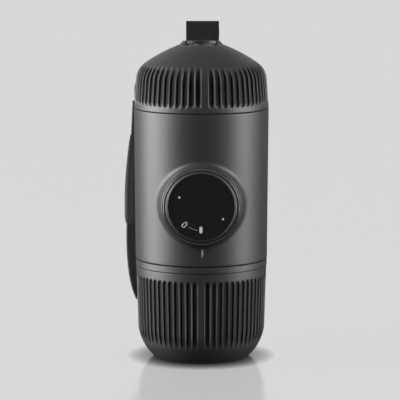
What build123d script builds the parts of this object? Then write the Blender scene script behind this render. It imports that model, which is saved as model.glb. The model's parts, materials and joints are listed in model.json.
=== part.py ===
from build123d import *
from math import cos, pi, radians, sin
import os

os.makedirs("parts", exist_ok=True)

# Handheld manual espresso maker, standing on its cup. Millimetres, Z up, the pump button faces -Y,
# origin in the middle of the cup's foot on the table.

# ---- gaps shared by the whole maker ----
seam = 0.4  # visible line between stacked housings
run_gap = 0.35  # between pieces that pass each other
seat_gap = 0.1  # between a piece and the seat it rests on
fit_gap = 0.06  # sliding fits, on radius

# ---- heights of the stack ----
cup_height = 45.8
ring_height = 2.9
body_height = 73.8
dome_height = 30.4

# ---- cup ----
cup_foot_radius = 22.0
cup_waist_radius = 31.2
cup_waist_height = 15.0
cup_rim_radius = 32.1
cup_wall = 2.1
cup_floor = 3.0
cup_bore_depth = 10.0
foot_land = 3.0
foot_recess = 0.8
foot_centre_radius = 8.0
rim_round = 0.5

# ---- finger grooves ----
groove_depth = 0.9
groove_share = 0.6  # of the pitch, the rest is ridge
cup_groove_count = 65
cup_land_angle = -0.2  # the plain land that marks the front, degrees to the right
cup_groove_low = 4.0
cup_groove_high = 42.2
dome_groove_count = 63
dome_land_angle = 2.95
dome_groove_low = 3.1
dome_groove_high = 28.0

# ---- portafilter, basket, outlet ----
ring_radius = 32.3
well_radius = 24.6
well_wall = 2.0
well_depth = 22.2
well_clear = 6.0  # the well's floor hangs this much below the basket's full depth
well_floor = 2.4
collar_radius = 27.9
collar_height = 6.4
basket_seat_drop = 2.5
skirt_depth = 8.2
ring_cord = 1.7  # thickness of the sealing rings
outlet_boss_radius = 7.0
outlet_boss_height = 5.0
outlet_stem_radius = 3.3
outlet_flange = 1.6
outlet_spout = 3.4
outlet_tip_radius = 3.0
outlet_bore = 1.0
basket_wall = 0.8
basket_flange = 1.9
basket_hole = 0.8
basket_round = 1.6

# ---- brew head, shower screen ----
head_height = 2.8
head_nose_radius = 22.3
head_nose = 3.3
gasket_height = 1.9
spread_radius = 19.0
spread_depth = 0.7
channel_radius = 0.9
channel_exit = 8.0
screen_radius = 21.6
screen_thickness = 0.6
screen_hole = 0.7
screw_radius = 1.5
screw_head_radius = 3.0
screw_head = 1.2
screw_length = 4.6

# ---- body shell and pump boss ----
body_radius = 33.0
body_base_radius = 32.4
shell_wall = 2.2
pump_z = 79.4
boss_radius = 20.7
boss_front = 36.6
boss_back = 22.0
boss_bore = 17.6
boss_round = 2.1
trim_width = 0.8
trim_depth = 1.0
trim_proud = 0.5
trim_round = 0.3
pillar_spread = 15.5
pillar_radius = 2.6

# ---- pump ----
cylinder_bore = 9.8
cylinder_wall = 1.8
cylinder_nose = 24.0
cylinder_front = 16.0
cylinder_back = 18.0
pump_flange_front = 19.0
pump_flange = 2.0
pump_flange_size = 37.6
rod_radius = 4.0
rod_sunk = 5.2  # from the button's face back to the rod's end
piston_front = 3.0
piston_back = 15.4
piston_side_gap = 0.45
seal_groove_depth = 1.7
seal_width = 2.3
wear_groove_depth = 1.0
wear_width = 2.8
pump_stroke = 14.0
return_spring_radius = 13.4
return_spring_wire = 0.75
return_spring_turns = 4
fixing_radius = 1.1
fixing_head_radius = 2.0
fixing_head = 1.5

# ---- button ----
button_skirt = 2.2
skirt_cover = 2.6  # how much of the skirt stays in the boss when the button is in
button_face = 38.6
button_disc_radius = 15.9
button_disc = 0.85
button_disc_sunk = 0.4
button_web = 2.1
button_hub_radius = 5.0
shoulder_radius = 2.1
button_screw_head_radius = 4.2
button_screw_head = 1.05
button_screw_length = 6.4
button_round = 0.5

# ---- valve block on the back of the cylinder ----
block_radius = 14.5
block_plate = 3.0
block_gasket = 0.3
block_y = 23.0
block_tube_radius = 4.6
block_low = 61.0
block_high = 98.0
inlet_bore = 3.2
inlet_bore_depth = 13.5
seat_bore = 1.2
outlet_bore_radius = 2.6
outlet_bore_depth = 12.5
ball_radius = 1.9
cage_height = 2.6
valve_spring_wire = 0.3
relief_tube_radius = 3.6
relief_length = 12.0
relief_bore = 2.0
relief_start = 4.0
relief_poppet_length = 3.4
relief_cap_length = 1.8
relief_slot = 0.6
tube_wall = 0.9
nipple_radius = 2.2
nipple_length = 4.0

# ---- tank plate and frame rods ----
plate_low = 117.0
plate_height = 2.5
plate_collar_radius = 27.5
plate_collar_wall = 1.8
plate_collar_top = 128.0
strainer_radius = 8.0
strainer_height = 0.7
rod_x = 24.0
rod_y = 8.0
frame_rod_radius = 1.6
rod_socket = 1.9
snap_ring = 1.0

# ---- tank ----
tank_neck_wall = 1.6
tank_neck_drop = 0.8
tank_neck_height = 5.0
tank_wall = 2.4
dome_wall_radius = 31.9
dome_wall_height = 14.8
shoulder_end_radius = 25.8
shoulder_end_height = 22.9
roof_drop = 3.3
roof = 1.2

# ---- crown and strap ----
crown_radius = 10.9
crown_proud = 0.2
crown_rim = 1.5
crown_hub_radius = 6.2
crown_recess_radius = 4.5
crown_recess_depth = 1.5
crown_slot_depth = 1.1
crown_slot_length = 11.0
notch_width = 1.8
notch_depth = 0.6
bush_radius = 4.1
bush_flange_radius = 6.5
bush_flange = 1.4
crown_screw_radius = 1.6
crown_screw_head_radius = 3.2
crown_screw_head = 0.8
tongue_thickness = 1.4
tongue_width = 22.6
tongue_root_width = 16.0
pin_y = 24.0
pin_radius = 0.8
pin_cheek = 2.0
cheek_radius = 1.3
webbing_width = 16.6
webbing = 1.2
tab_height = 13.4
tab_offset = 0.6
strap_angle = 140.0  # where the hand loop hangs, degrees from +X seen from above
loop_inner_radius = 33.9
loop_top = 125.0
loop_top_radius = 36.2
loop_belly_radius = 42.6
loop_belly = 60.0
loop_low = 24.3
neck_overlap = 8.0
neck_rise = 9.0  # how far the strap stands straight up above the loop
neck_out = 12.0  # how far it stands out behind the tab
neck_fall = 31.5  # how far it falls there before it turns to the side
neck_sway = 1.2  # how far it sways sideways on the way down
neck_side = 19.6  # how far from the side it comes to the loop
neck_away = 3.0  # how far from the body it stays there
neck_lift = 5.0  # how much higher than its straight end it is there
pad_length = 48.0
pad_width = 22.8
pad_end_width = 19.4
pad_thickness = 4.4
pad_top_thickness = 2.4
pad_taper = -4.0  # where the pad starts to thin towards its top, above its middle
pad_middle = 85.5
pad_bevel = 1.2

# ---- heights and radii that follow from the above ----
ring_z = cup_height + seam
ring_top = ring_z + ring_height
body_z = ring_top + seam
body_top = body_z + body_height
tank_z = body_top + seam
rim_z = tank_z + dome_height
cup_bore_radius = cup_rim_radius - cup_wall
front = 270.0  # the direction of the button, degrees from +X
pump_axis = Axis((0, 0, pump_z), (0, 1, 0))
strap_out = Vector(cos(radians(strap_angle)), sin(radians(strap_angle)), 0)
strap_plane = Plane(origin=(0, 0, 0), x_dir=strap_out, z_dir=strap_out.cross(Vector(0, 0, 1)))


def sealing_ring(outer_radius, height):
    """A round-section sealing ring whose outside is at outer_radius, middle at height."""
    with BuildPart() as ring:
        with Locations((0, 0, height)):
            Torus(outer_radius - ring_cord / 2, ring_cord / 2)
    return ring.part


def finger_grooves(count, land_angle, radius, low, high, core):
    """Cutters for all the grooves but the one left out at the front; core is what they leave standing."""
    pitch = 360 / count
    width = groove_share * 2 * pi * radius / count
    with BuildPart() as one:
        with BuildSketch(Plane.YZ.offset(radius - 9)):
            with Locations((0, (low + high) / 2)):
                SlotOverall(high - low, width, rotation=90)
        extrude(amount=11)
    with BuildPart() as all_cutters:
        with PolarLocations(0, count - 1, front + land_angle + pitch, pitch * (count - 1)):
            add(one.part)
        add(core, mode=Mode.SUBTRACT)
    return all_cutters.part


def wire_spring(start, direction, length, radius, wire, turns):
    """A round-wire coil spring whose ends stay within length."""
    with BuildPart() as spring:
        with BuildLine() as coil:
            Helix((length - 2 * wire) / turns, length - 2 * wire, radius, center=start, direction=direction)
        with BuildSketch(Plane(coil.line @ 0, z_dir=coil.line % 0)):
            RegularPolygon(wire, 6)
        sweep(is_frenet=True)
    return spring.part


# ================= cup =================
foot_bulge = (cup_foot_radius + 0.35 * (cup_waist_radius - cup_foot_radius), 0.04 * cup_waist_height)
foot_turn = (cup_waist_radius - 0.11 * (cup_waist_radius - cup_foot_radius), 0.5 * cup_waist_height)
with BuildPart() as cup_core:
    with BuildSketch(Plane.XZ):
        with BuildLine():
            Polyline(
                (0, 0),
                (cup_foot_radius + 6, 0),
                (cup_waist_radius - groove_depth, cup_waist_height),
                (cup_rim_radius - groove_depth, cup_height),
                (0, cup_height),
                close=True,
            )
        make_face()
    revolve(axis=Axis.Z)

with BuildPart() as cup:
    with BuildSketch(Plane.XZ):
        with BuildLine():
            Line((0, 0), (cup_foot_radius, 0))
            Bezier((cup_foot_radius, 0), foot_bulge, foot_turn, (cup_waist_radius, cup_waist_height))
            Polyline(
                (cup_waist_radius, cup_waist_height),
                (cup_rim_radius, cup_height),
                (cup_bore_radius, cup_height),
                (cup_bore_radius, cup_height - cup_bore_depth),
                (cup_waist_radius - cup_wall, cup_waist_height),
            )
            Bezier(
                (cup_waist_radius - cup_wall, cup_waist_height),
                (foot_turn[0] - cup_wall, foot_turn[1]),
                (foot_bulge[0] - cup_wall / 2, cup_floor + foot_bulge[1]),
                (cup_foot_radius - cup_wall, cup_floor),
            )
            Polyline((cup_foot_radius - cup_wall, cup_floor), (0, cup_floor), (0, 0))
        make_face()
    revolve(axis=Axis.Z)
    with BuildSketch():
        Circle(cup_foot_radius - foot_land)
        Circle(foot_centre_radius, mode=Mode.SUBTRACT)
    extrude(amount=foot_recess, mode=Mode.SUBTRACT)
    fillet(cup.edges().group_by(Axis.Z)[-1], rim_round)
    add(
        finger_grooves(
            cup_groove_count, cup_land_angle, cup_rim_radius, cup_groove_low, cup_groove_high, cup_core.part
        ),
        mode=Mode.SUBTRACT,
    )
cup.part.label = "cup"

# ================= portafilter and outlet =================
well_low = body_z + collar_height - seam - basket_seat_drop - well_depth - well_clear
well_top = ring_top + collar_height
basket_seat = well_top - basket_seat_drop
well_outer = well_radius + well_wall
skirt_radius = cup_bore_radius - run_gap - 0.3
skirt_low = ring_z - skirt_depth
groove_z = skirt_low + skirt_depth / 2
groove_width = ring_cord + 0.5
groove_floor = cup_bore_radius - fit_gap - ring_cord - seat_gap
outlet_z = well_low - well_floor - outlet_boss_height
with BuildPart() as portafilter:
    with BuildSketch(Plane.XZ):
        with BuildLine():
            Polyline(
                (outlet_stem_radius + seat_gap, outlet_z),
                (outlet_boss_radius, outlet_z),
                (outlet_boss_radius, well_low - well_floor),
                (well_outer - 2.0, well_low - well_floor),
                (well_outer, well_low),
                (well_outer, skirt_low),
                (skirt_radius, skirt_low),
                (skirt_radius, groove_z - groove_width / 2),
                (groove_floor, groove_z - groove_width / 2),
                (groove_floor, groove_z + groove_width / 2),
                (skirt_radius, groove_z + groove_width / 2),
                (skirt_radius, ring_z),
                (ring_radius, ring_z),
                (ring_radius, ring_top),
                (collar_radius, ring_top),
                (collar_radius, well_top),
                (well_radius + basket_flange, well_top),
                (well_radius + basket_flange, basket_seat),
                (well_radius, basket_seat),
                (well_radius, well_low),
                (outlet_stem_radius + seat_gap, well_low),
                close=True,
            )
        make_face()
    revolve(axis=Axis.Z)
portafilter.part.label = "portafilter"

cup_seal = sealing_ring(cup_bore_radius - fit_gap, groove_z)
cup_seal.label = "cup_seal"

flange_top = outlet_z - outlet_flange / 4
with BuildPart() as outlet_nozzle:
    with BuildSketch(Plane.XY.offset(flange_top - outlet_flange)):
        RegularPolygon(outlet_boss_radius - 0.5, 6)
    extrude(amount=outlet_flange)
    with BuildSketch(Plane.XY.offset(flange_top)):
        Circle(outlet_stem_radius)
    extrude(amount=well_low - flange_top - 0.4)
    with BuildSketch(Plane.XY.offset(flange_top - outlet_flange)):
        Circle(outlet_tip_radius + 1.2)
    with BuildSketch(Plane.XY.offset(flange_top - outlet_flange - outlet_spout)):
        Circle(outlet_tip_radius)
    loft()
    with Locations((0, 0, flange_top - outlet_flange - outlet_spout)):
        Cylinder(
            outlet_bore, 40, align=(Align.CENTER, Align.CENTER, Align.MIN), mode=Mode.SUBTRACT
        )
outlet_nozzle.part.label = "outlet_nozzle"

with BuildPart() as outlet_washer:
    with BuildSketch(Plane.XY.offset(flange_top)):
        Circle(outlet_boss_radius - 1.2)
        Circle(outlet_stem_radius + seat_gap, mode=Mode.SUBTRACT)
    extrude(amount=outlet_z - flange_top)
outlet_washer.part.label = "outlet_washer"

# ================= basket =================
basket_radius = well_radius - run_gap
basket_low = well_low + run_gap
flange_low = basket_seat + seat_gap
flange_high = flange_low + basket_wall
with BuildPart() as filter_basket:
    with BuildSketch(Plane.XZ):
        with BuildLine():
            Polyline(
                (0, basket_low),
                (basket_radius - basket_round, basket_low),
                (basket_radius, basket_low + basket_round),
                (basket_radius, flange_low),
                (well_radius + basket_flange - run_gap, flange_low),
                (well_radius + basket_flange - run_gap, flange_high),
                (basket_radius - basket_wall, flange_high),
                (basket_radius - basket_wall, basket_low + basket_round + basket_wall / 2),
                (basket_radius - basket_round - basket_wall / 2, basket_low + basket_wall),
                (0, basket_low + basket_wall),
                close=True,
            )
        make_face()
    revolve(axis=Axis.Z)
    with BuildSketch(Plane.XY.offset(basket_low)):
        with PolarLocations(basket_radius * 0.32, 6):
            Circle(basket_hole)
        with PolarLocations(basket_radius * 0.68, 12):
            Circle(basket_hole)
    extrude(amount=basket_wall, mode=Mode.SUBTRACT)
filter_basket.part.label = "filter_basket"

gasket_z = flange_high + seat_gap
head_z = gasket_z + gasket_height + seat_gap / 2
nose_z = head_z - head_nose
with BuildPart() as brew_gasket:
    with BuildSketch(Plane.XY.offset(gasket_z)):
        Circle(well_radius + basket_flange - run_gap)
        Circle(head_nose_radius + run_gap, mode=Mode.SUBTRACT)
    extrude(amount=gasket_height)
brew_gasket.part.label = "brew_gasket"

# ================= brew head and shower screen =================
shell_bore = body_base_radius - shell_wall
head_top = head_z + head_height
with BuildPart() as brew_head:
    with BuildSketch(Plane.XY.offset(head_z)):
        Circle(shell_bore - seat_gap)
    extrude(amount=head_height)
    with BuildSketch(Plane.XY.offset(nose_z)):
        Circle(head_nose_radius)
    extrude(amount=head_nose)
    with BuildSketch(Plane.XY.offset(nose_z)):
        Circle(spread_radius)
        Circle(screw_head_radius, mode=Mode.SUBTRACT)
    extrude(amount=spread_depth, mode=Mode.SUBTRACT)
    with Locations((0, channel_exit, nose_z)):
        Cylinder(
            channel_radius + 0.3,
            head_nose + head_height / 2,
            align=(Align.CENTER, Align.CENTER, Align.MIN),
            mode=Mode.SUBTRACT,
        )
    with BuildSketch(Plane.XZ.offset(-block_y)):
        with Locations((0, head_z + head_height * 0.45)):
            Circle(channel_radius)
    extrude(amount=block_y - channel_exit, mode=Mode.SUBTRACT)
    with Locations((0, block_y, head_top)):
        Cylinder(
            nipple_radius + seat_gap,
            head_height * 0.7,
            align=(Align.CENTER, Align.CENTER, Align.MAX),
            mode=Mode.SUBTRACT,
        )
    with Locations((0, 0, nose_z)):
        Cylinder(
            screw_radius + fit_gap,
            screw_length,
            align=(Align.CENTER, Align.CENTER, Align.MIN),
            mode=Mode.SUBTRACT,
        )
    with Locations((0, 0, head_top)):
        with GridLocations(2 * rod_x, 2 * rod_y, 2, 2):
            Cylinder(
                frame_rod_radius + fit_gap,
                rod_socket,
                align=(Align.CENTER, Align.CENTER, Align.MAX),
                mode=Mode.SUBTRACT,
            )
brew_head.part.label = "brew_head"

screen_top = nose_z - seat_gap
with BuildPart() as shower_screen:
    with BuildSketch(Plane.XY.offset(screen_top - screen_thickness)):
        Circle(screen_radius)
        Circle(screw_radius + seat_gap, mode=Mode.SUBTRACT)
        with PolarLocations(screen_radius * 0.36, 6):
            Circle(screen_hole, mode=Mode.SUBTRACT)
        with PolarLocations(screen_radius * 0.7, 12):
            Circle(screen_hole, mode=Mode.SUBTRACT)
    extrude(amount=screen_thickness)
shower_screen.part.label = "shower_screen"

with BuildPart() as shower_screw:
    with BuildSketch(Plane.XY.offset(screen_top - screen_thickness)):
        Circle(screw_radius)
    extrude(amount=screw_length)
    with BuildSketch(Plane.XY.offset(screen_top - screen_thickness)):
        Circle(screw_head_radius)
    extrude(amount=-screw_head)
    with BuildSketch(Plane.XY.offset(screen_top - screen_thickness - screw_head)):
        Rectangle(screw_head_radius * 1.4, screw_head / 2)
    extrude(amount=screw_head / 2, mode=Mode.SUBTRACT)
shower_screw.part.label = "shower_screw"

# ================= body shell =================
snap_z = plate_low + plate_height + seat_gap
with BuildPart() as body_shell:
    with BuildSketch(Plane.XZ):
        with BuildLine():
            Polyline(
                (collar_radius + run_gap, body_z),
                (body_base_radius, body_z),
                (body_radius, body_top),
                (shell_bore, body_top),
                (shell_bore, snap_z + snap_ring + seat_gap),
                (shell_bore + snap_ring, snap_z + snap_ring + seat_gap),
                (shell_bore + snap_ring, snap_z - seat_gap / 2),
                (shell_bore, snap_z - seat_gap / 2),
                (shell_bore, head_z),
                (collar_radius + run_gap, head_z),
                close=True,
            )
        make_face()
    revolve(axis=Axis.Z)
    with BuildSketch(Plane.XZ.offset(boss_back)):
        with Locations((0, pump_z)):
            Circle(boss_radius)
    extrude(amount=boss_front - boss_back)
    fillet(body_shell.edges().filter_by(GeomType.CIRCLE).sort_by(Axis.Y)[0], boss_round)
    with BuildSketch(Plane.XZ.offset(pump_flange_front + seat_gap)):
        with Locations((0, pump_z)):
            with GridLocations(2 * pillar_spread, 2 * pillar_spread, 2, 2):
                Circle(pillar_radius)
    extrude(amount=(shell_bore**2 - pillar_spread**2) ** 0.5 - pump_flange_front + 0.5)
    with BuildSketch(Plane.XZ.offset(boss_back)):
        with Locations((0, pump_z)):
            Circle(boss_bore)
    extrude(amount=boss_front, mode=Mode.SUBTRACT)
    with BuildSketch(Plane.XZ.offset(boss_front - trim_depth)):
        with Locations((0, pump_z)):
            Circle(boss_bore + trim_width)
    extrude(amount=boss_front, mode=Mode.SUBTRACT)
    with BuildSketch(Plane.XZ.offset(pump_flange_front)):
        with Locations((0, pump_z)):
            with GridLocations(2 * pillar_spread, 2 * pillar_spread, 2, 2):
                Circle(fixing_radius)
    extrude(amount=6, mode=Mode.SUBTRACT)
body_shell.part.label = "body_shell"

with BuildPart() as trim_ring:
    with BuildSketch(Plane.XZ.offset(boss_front - trim_depth)):
        with Locations((0, pump_z)):
            Circle(boss_bore + trim_width - fit_gap)
            Circle(boss_bore, mode=Mode.SUBTRACT)
    extrude(amount=trim_depth + trim_proud)
    fillet(trim_ring.edges().filter_by(GeomType.CIRCLE).group_by(Axis.Y)[0], trim_round)
trim_ring.part.label = "trim_ring"

# ================= pump cylinder =================
cylinder_radius = cylinder_bore + cylinder_wall
flange_back = pump_flange_front - pump_flange
with BuildPart() as pump_cylinder:
    with BuildSketch(Plane.YZ):
        with BuildLine():
            Polyline(
                (-cylinder_nose, pump_z + rod_radius + fit_gap),
                (-cylinder_nose, pump_z + cylinder_radius),
                (cylinder_back - pump_flange, pump_z + cylinder_radius),
                (cylinder_back - pump_flange, pump_z + block_radius),
                (cylinder_back, pump_z + block_radius),
                (cylinder_back, pump_z + cylinder_bore),
                (-cylinder_front, pump_z + cylinder_bore),
                (-cylinder_front, pump_z + rod_radius + fit_gap),
                close=True,
            )
        make_face()
    revolve(axis=pump_axis)
    with BuildSketch(Plane.XZ.offset(flange_back)):
        with Locations((0, pump_z)):
            RectangleRounded(pump_flange_size, pump_flange_size, pillar_radius)
            Circle(cylinder_radius - 0.2, mode=Mode.SUBTRACT)
            with GridLocations(2 * pillar_spread, 2 * pillar_spread, 2, 2):
                Circle(fixing_radius + seat_gap, mode=Mode.SUBTRACT)
    extrude(amount=pump_flange)
    with BuildSketch(Plane.XZ.offset(-cylinder_back)):
        with Locations((0, pump_z)):
            with PolarLocations(block_radius - fixing_head_radius, 4, 45):
                Circle(fixing_radius + fit_gap)
    extrude(amount=pump_flange, mode=Mode.SUBTRACT)
pump_cylinder.part.label = "pump_cylinder"

with BuildPart() as pump_screws:
    with BuildSketch(Plane.XZ.offset(flange_back)):
        with Locations((0, pump_z)):
            with GridLocations(2 * pillar_spread, 2 * pillar_spread, 2, 2):
                Circle(fixing_radius - fit_gap)
    extrude(amount=pump_flange + 5)
    with BuildSketch(Plane.XZ.offset(flange_back)):
        with Locations((0, pump_z)):
            with GridLocations(2 * pillar_spread, 2 * pillar_spread, 2, 2):
                RegularPolygon(fixing_head_radius, 6)
    extrude(amount=-fixing_head)
pump_screws.part.label = "pump_screws"

# ================= valve block =================
block_front = cylinder_back + block_gasket
with BuildPart() as block_seal:
    with BuildSketch(Plane.XZ.offset(-cylinder_back)):
        with Locations((0, pump_z)):
            Circle(cylinder_radius - 0.4)
            Circle(cylinder_bore, mode=Mode.SUBTRACT)
    extrude(amount=-block_gasket)
block_seal.part.label = "block_seal"

outlet_seat_z = block_low + outlet_bore_depth
inlet_floor = block_high - inlet_bore_depth
with BuildPart() as valve_block:
    with Locations((0, block_y, block_low)):
        Cylinder(
            block_tube_radius, block_high - block_low, align=(Align.CENTER, Align.CENTER, Align.MIN)
        )
    with BuildSketch(Plane.YZ):
        with Locations((block_y, pump_z)):
            Circle(relief_tube_radius)
    extrude(amount=relief_length)
    with BuildSketch(Plane.XZ.offset(-block_front - block_plate)):
        with Locations((0, pump_z)):
            Circle(block_radius)
            with PolarLocations(block_radius - fixing_head_radius, 4, 45):
                Circle(fixing_radius + fit_gap, mode=Mode.SUBTRACT)
    extrude(amount=block_plate)
    with BuildSketch(Plane.XZ.offset(-block_front)):
        with Locations((0, pump_z)):
            Circle(block_radius + 30)
    extrude(amount=20, mode=Mode.SUBTRACT)
    with Locations((0, block_y, block_high)):
        Cylinder(
            inlet_bore, inlet_bore_depth, align=(Align.CENTER, Align.CENTER, Align.MAX), mode=Mode.SUBTRACT
        )
    with Locations((0, block_y, block_low)):
        Cylinder(
            outlet_bore_radius,
            outlet_bore_depth,
            align=(Align.CENTER, Align.CENTER, Align.MIN),
            mode=Mode.SUBTRACT,
        )
        Cylinder(
            seat_bore, block_high - block_low, align=(Align.CENTER, Align.CENTER, Align.MIN), mode=Mode.SUBTRACT
        )
    with BuildSketch(Plane.XZ.offset(-block_y)):
        with Locations((0, pump_z)):
            Circle(seat_bore)
    extrude(amount=block_y - cylinder_back, mode=Mode.SUBTRACT)
    with BuildSketch(Plane.YZ):
        with Locations((block_y, pump_z)):
            Circle(seat_bore * 0.7)
    extrude(amount=relief_length, mode=Mode.SUBTRACT)
    with BuildSketch(Plane.YZ.offset(relief_start)):
        with Locations((block_y, pump_z)):
            Circle(relief_bore)
    extrude(amount=relief_length, mode=Mode.SUBTRACT)
valve_block.part.label = "valve_block"

with BuildPart() as block_screws:
    with BuildSketch(Plane.XZ.offset(-block_front - block_plate)):
        with Locations((0, pump_z)):
            with PolarLocations(block_radius - fixing_head_radius, 4, 45):
                Circle(fixing_radius)
    extrude(amount=block_plate + block_gasket + pump_flange - seat_gap)
    with BuildSketch(Plane.XZ.offset(-block_front - block_plate)):
        with Locations((0, pump_z)):
            with PolarLocations(block_radius - fixing_head_radius, 4, 45):
                RegularPolygon(fixing_head_radius - 0.1, 6)
    extrude(amount=-fixing_head)
block_screws.part.label = "block_screws"

seat_low = block_high - inlet_bore_depth / 2
with BuildPart() as inlet_seat:
    with BuildSketch(Plane.YZ):
        with BuildLine():
            Polyline(
                (block_y + seat_bore, seat_low),
                (block_y + inlet_bore - fit_gap, seat_low),
                (block_y + inlet_bore - fit_gap, block_high),
                (block_y + block_tube_radius, block_high),
                (block_y + block_tube_radius, block_high + 1),
                (block_y + nipple_radius, block_high + 1),
                (block_y + nipple_radius, block_high + 1 + nipple_length),
                (block_y + seat_bore, block_high + 1 + nipple_length),
                close=True,
            )
        make_face()
    revolve(axis=Axis((0, block_y, 0), (0, 0, 1)))
inlet_seat.part.label = "inlet_seat"

bill_top = seat_low - seat_gap
with BuildPart() as inlet_duckbill:
    with BuildSketch(Plane.XY.offset(bill_top)):
        with Locations((0, block_y)):
            Circle(inlet_bore - fit_gap)
    extrude(amount=-1)
    with BuildSketch(Plane.XY.offset(bill_top - 1)):
        with Locations((0, block_y)):
            Circle(inlet_bore * 0.72)
    with BuildSketch(Plane.XY.offset(inlet_floor + 0.6)):
        with Locations((0, block_y)):
            Rectangle(inlet_bore * 1.1, 0.7)
    loft()
inlet_duckbill.part.label = "inlet_duckbill"

# The ball sits just below the edge of its seat.
ball_z = outlet_seat_z - (ball_radius**2 - seat_bore**2) ** 0.5 - fit_gap
with BuildPart() as outlet_ball:
    with Locations((0, block_y, ball_z)):
        Sphere(ball_radius)
outlet_ball.part.label = "outlet_ball"

cage_top = block_low + cage_height
outlet_spring = wire_spring(
    (0, block_y, cage_top + 2 * valve_spring_wire),
    (0, 0, 1),
    ball_z - ball_radius * 0.75 - cage_top - valve_spring_wire,
    outlet_bore_radius * 0.6,
    valve_spring_wire,
    3,
)
outlet_spring.label = "outlet_spring"

with BuildPart() as outlet_cage:
    with BuildSketch(Plane.XY.offset(block_low)):
        with Locations((0, block_y)):
            Circle(outlet_bore_radius - fit_gap)
    extrude(amount=cage_height)
    with BuildSketch(Plane.XY.offset(block_low)):
        with Locations((0, block_y)):
            Circle(nipple_radius - 0.35)
    extrude(amount=head_top - block_low - head_height * 0.55)
    with BuildSketch(Plane.XY.offset(head_z)):
        with Locations((0, block_y)):
            Circle(channel_radius)
    extrude(amount=cage_top - head_z, mode=Mode.SUBTRACT)
outlet_cage.part.label = "outlet_cage"

with BuildPart() as feed_sleeve:
    with BuildSketch(Plane.XY.offset(head_top - head_height * 0.6)):
        with Locations((0, block_y)):
            Circle(nipple_radius)
            Circle(nipple_radius - 0.3, mode=Mode.SUBTRACT)
    extrude(amount=block_low - seat_gap - head_top + head_height * 0.6)
feed_sleeve.part.label = "feed_sleeve"

relief_seat = relief_start + seat_gap
with BuildPart() as relief_poppet:
    with BuildSketch(Plane.YZ.offset(relief_seat)):
        with Locations((block_y, pump_z)):
            Circle(relief_bore - fit_gap)
    extrude(amount=relief_poppet_length)
relief_poppet.part.label = "relief_poppet"

relief_cap_start = relief_length - relief_cap_length
relief_spring = wire_spring(
    (relief_seat + relief_poppet_length + 1.5 * valve_spring_wire, block_y, pump_z),
    (1, 0, 0),
    relief_cap_start - relief_seat - relief_poppet_length - valve_spring_wire,
    relief_bore * 0.7,
    valve_spring_wire,
    2,
)
relief_spring.label = "relief_spring"

with BuildPart() as relief_cap:
    with BuildSketch(Plane.YZ.offset(relief_cap_start)):
        with Locations((block_y, pump_z)):
            Circle(relief_bore - fit_gap)
    extrude(amount=relief_cap_length)
    with BuildSketch(Plane.YZ.offset(relief_length)):
        with Locations((block_y, pump_z)):
            Rectangle(2 * relief_bore, relief_slot)
    extrude(amount=-relief_slot, mode=Mode.SUBTRACT)
relief_cap.part.label = "relief_cap"

# ================= tank plate, strainer, rods =================
plate_top = plate_low + plate_height
with BuildPart() as tank_plate:
    with BuildSketch(Plane.XY.offset(plate_low)):
        Circle(shell_bore - seat_gap)
    extrude(amount=plate_height)
    with BuildSketch(Plane.XY.offset(plate_top)):
        Circle(plate_collar_radius)
        Circle(plate_collar_radius - plate_collar_wall, mode=Mode.SUBTRACT)
    extrude(amount=plate_collar_top - plate_top)
    with BuildSketch(Plane.XY.offset(plate_low)):
        Circle(nipple_radius)
    extrude(amount=-nipple_length)
    with BuildSketch(Plane.XY.offset(plate_top)):
        Circle(strainer_radius + seat_gap)
    extrude(amount=-strainer_height - seat_gap, mode=Mode.SUBTRACT)
    with BuildSketch(Plane.XY.offset(plate_low - nipple_length)):
        Circle(seat_bore)
    extrude(amount=nipple_length + plate_height, mode=Mode.SUBTRACT)
    with BuildSketch(Plane.XY.offset(plate_low)):
        with GridLocations(2 * rod_x, 2 * rod_y, 2, 2):
            Circle(frame_rod_radius + fit_gap)
    extrude(amount=rod_socket - 0.4, mode=Mode.SUBTRACT)
tank_plate.part.label = "tank_plate"

with BuildPart() as inlet_strainer:
    with BuildSketch(Plane.XY.offset(plate_top - strainer_height)):
        Circle(strainer_radius)
        with PolarLocations(strainer_radius * 0.4, 6):
            Circle(screen_hole, mode=Mode.SUBTRACT)
        with PolarLocations(strainer_radius * 0.75, 10):
            Circle(screen_hole, mode=Mode.SUBTRACT)
    extrude(amount=strainer_height)
inlet_strainer.part.label = "inlet_strainer"

with BuildPart() as snap_retainer:
    with BuildSketch(Plane.XY.offset(snap_z)):
        Circle(shell_bore + snap_ring - seat_gap)
        Circle(shell_bore - snap_ring, mode=Mode.SUBTRACT)
        with Locations((0, shell_bore)):
            Rectangle(6, 6, mode=Mode.SUBTRACT)
    extrude(amount=snap_ring)
snap_retainer.part.label = "snap_retainer"

with BuildPart() as frame_rods:
    with BuildSketch(Plane.XY.offset(head_top - rod_socket + seat_gap)):
        with GridLocations(2 * rod_x, 2 * rod_y, 2, 2):
            Circle(frame_rod_radius)
    extrude(amount=plate_low - head_top + 2 * rod_socket - 0.4 - 2 * seat_gap)
frame_rods.part.label = "frame_rods"

tube_start = block_high + 1 + seat_gap
tube_end = plate_low - seat_gap
with BuildPart() as suction_tube:
    with BuildLine() as tube_path:
        Line((0, 0, tube_end), (0, 0, tube_end - nipple_length))
        Bezier(
            (0, 0, tube_end - nipple_length),
            (0, 0, tube_end - 2.2 * nipple_length),
            (0, block_y, tube_start + 2.2 * nipple_length),
            (0, block_y, tube_start + nipple_length),
        )
        Line((0, block_y, tube_start + nipple_length), (0, block_y, tube_start))
    with BuildSketch(Plane.XY.offset(tube_end)):
        Circle(nipple_radius + fit_gap + tube_wall)
        Circle(nipple_radius + fit_gap, mode=Mode.SUBTRACT)
    sweep()
suction_tube.part.label = "suction_tube"

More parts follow.
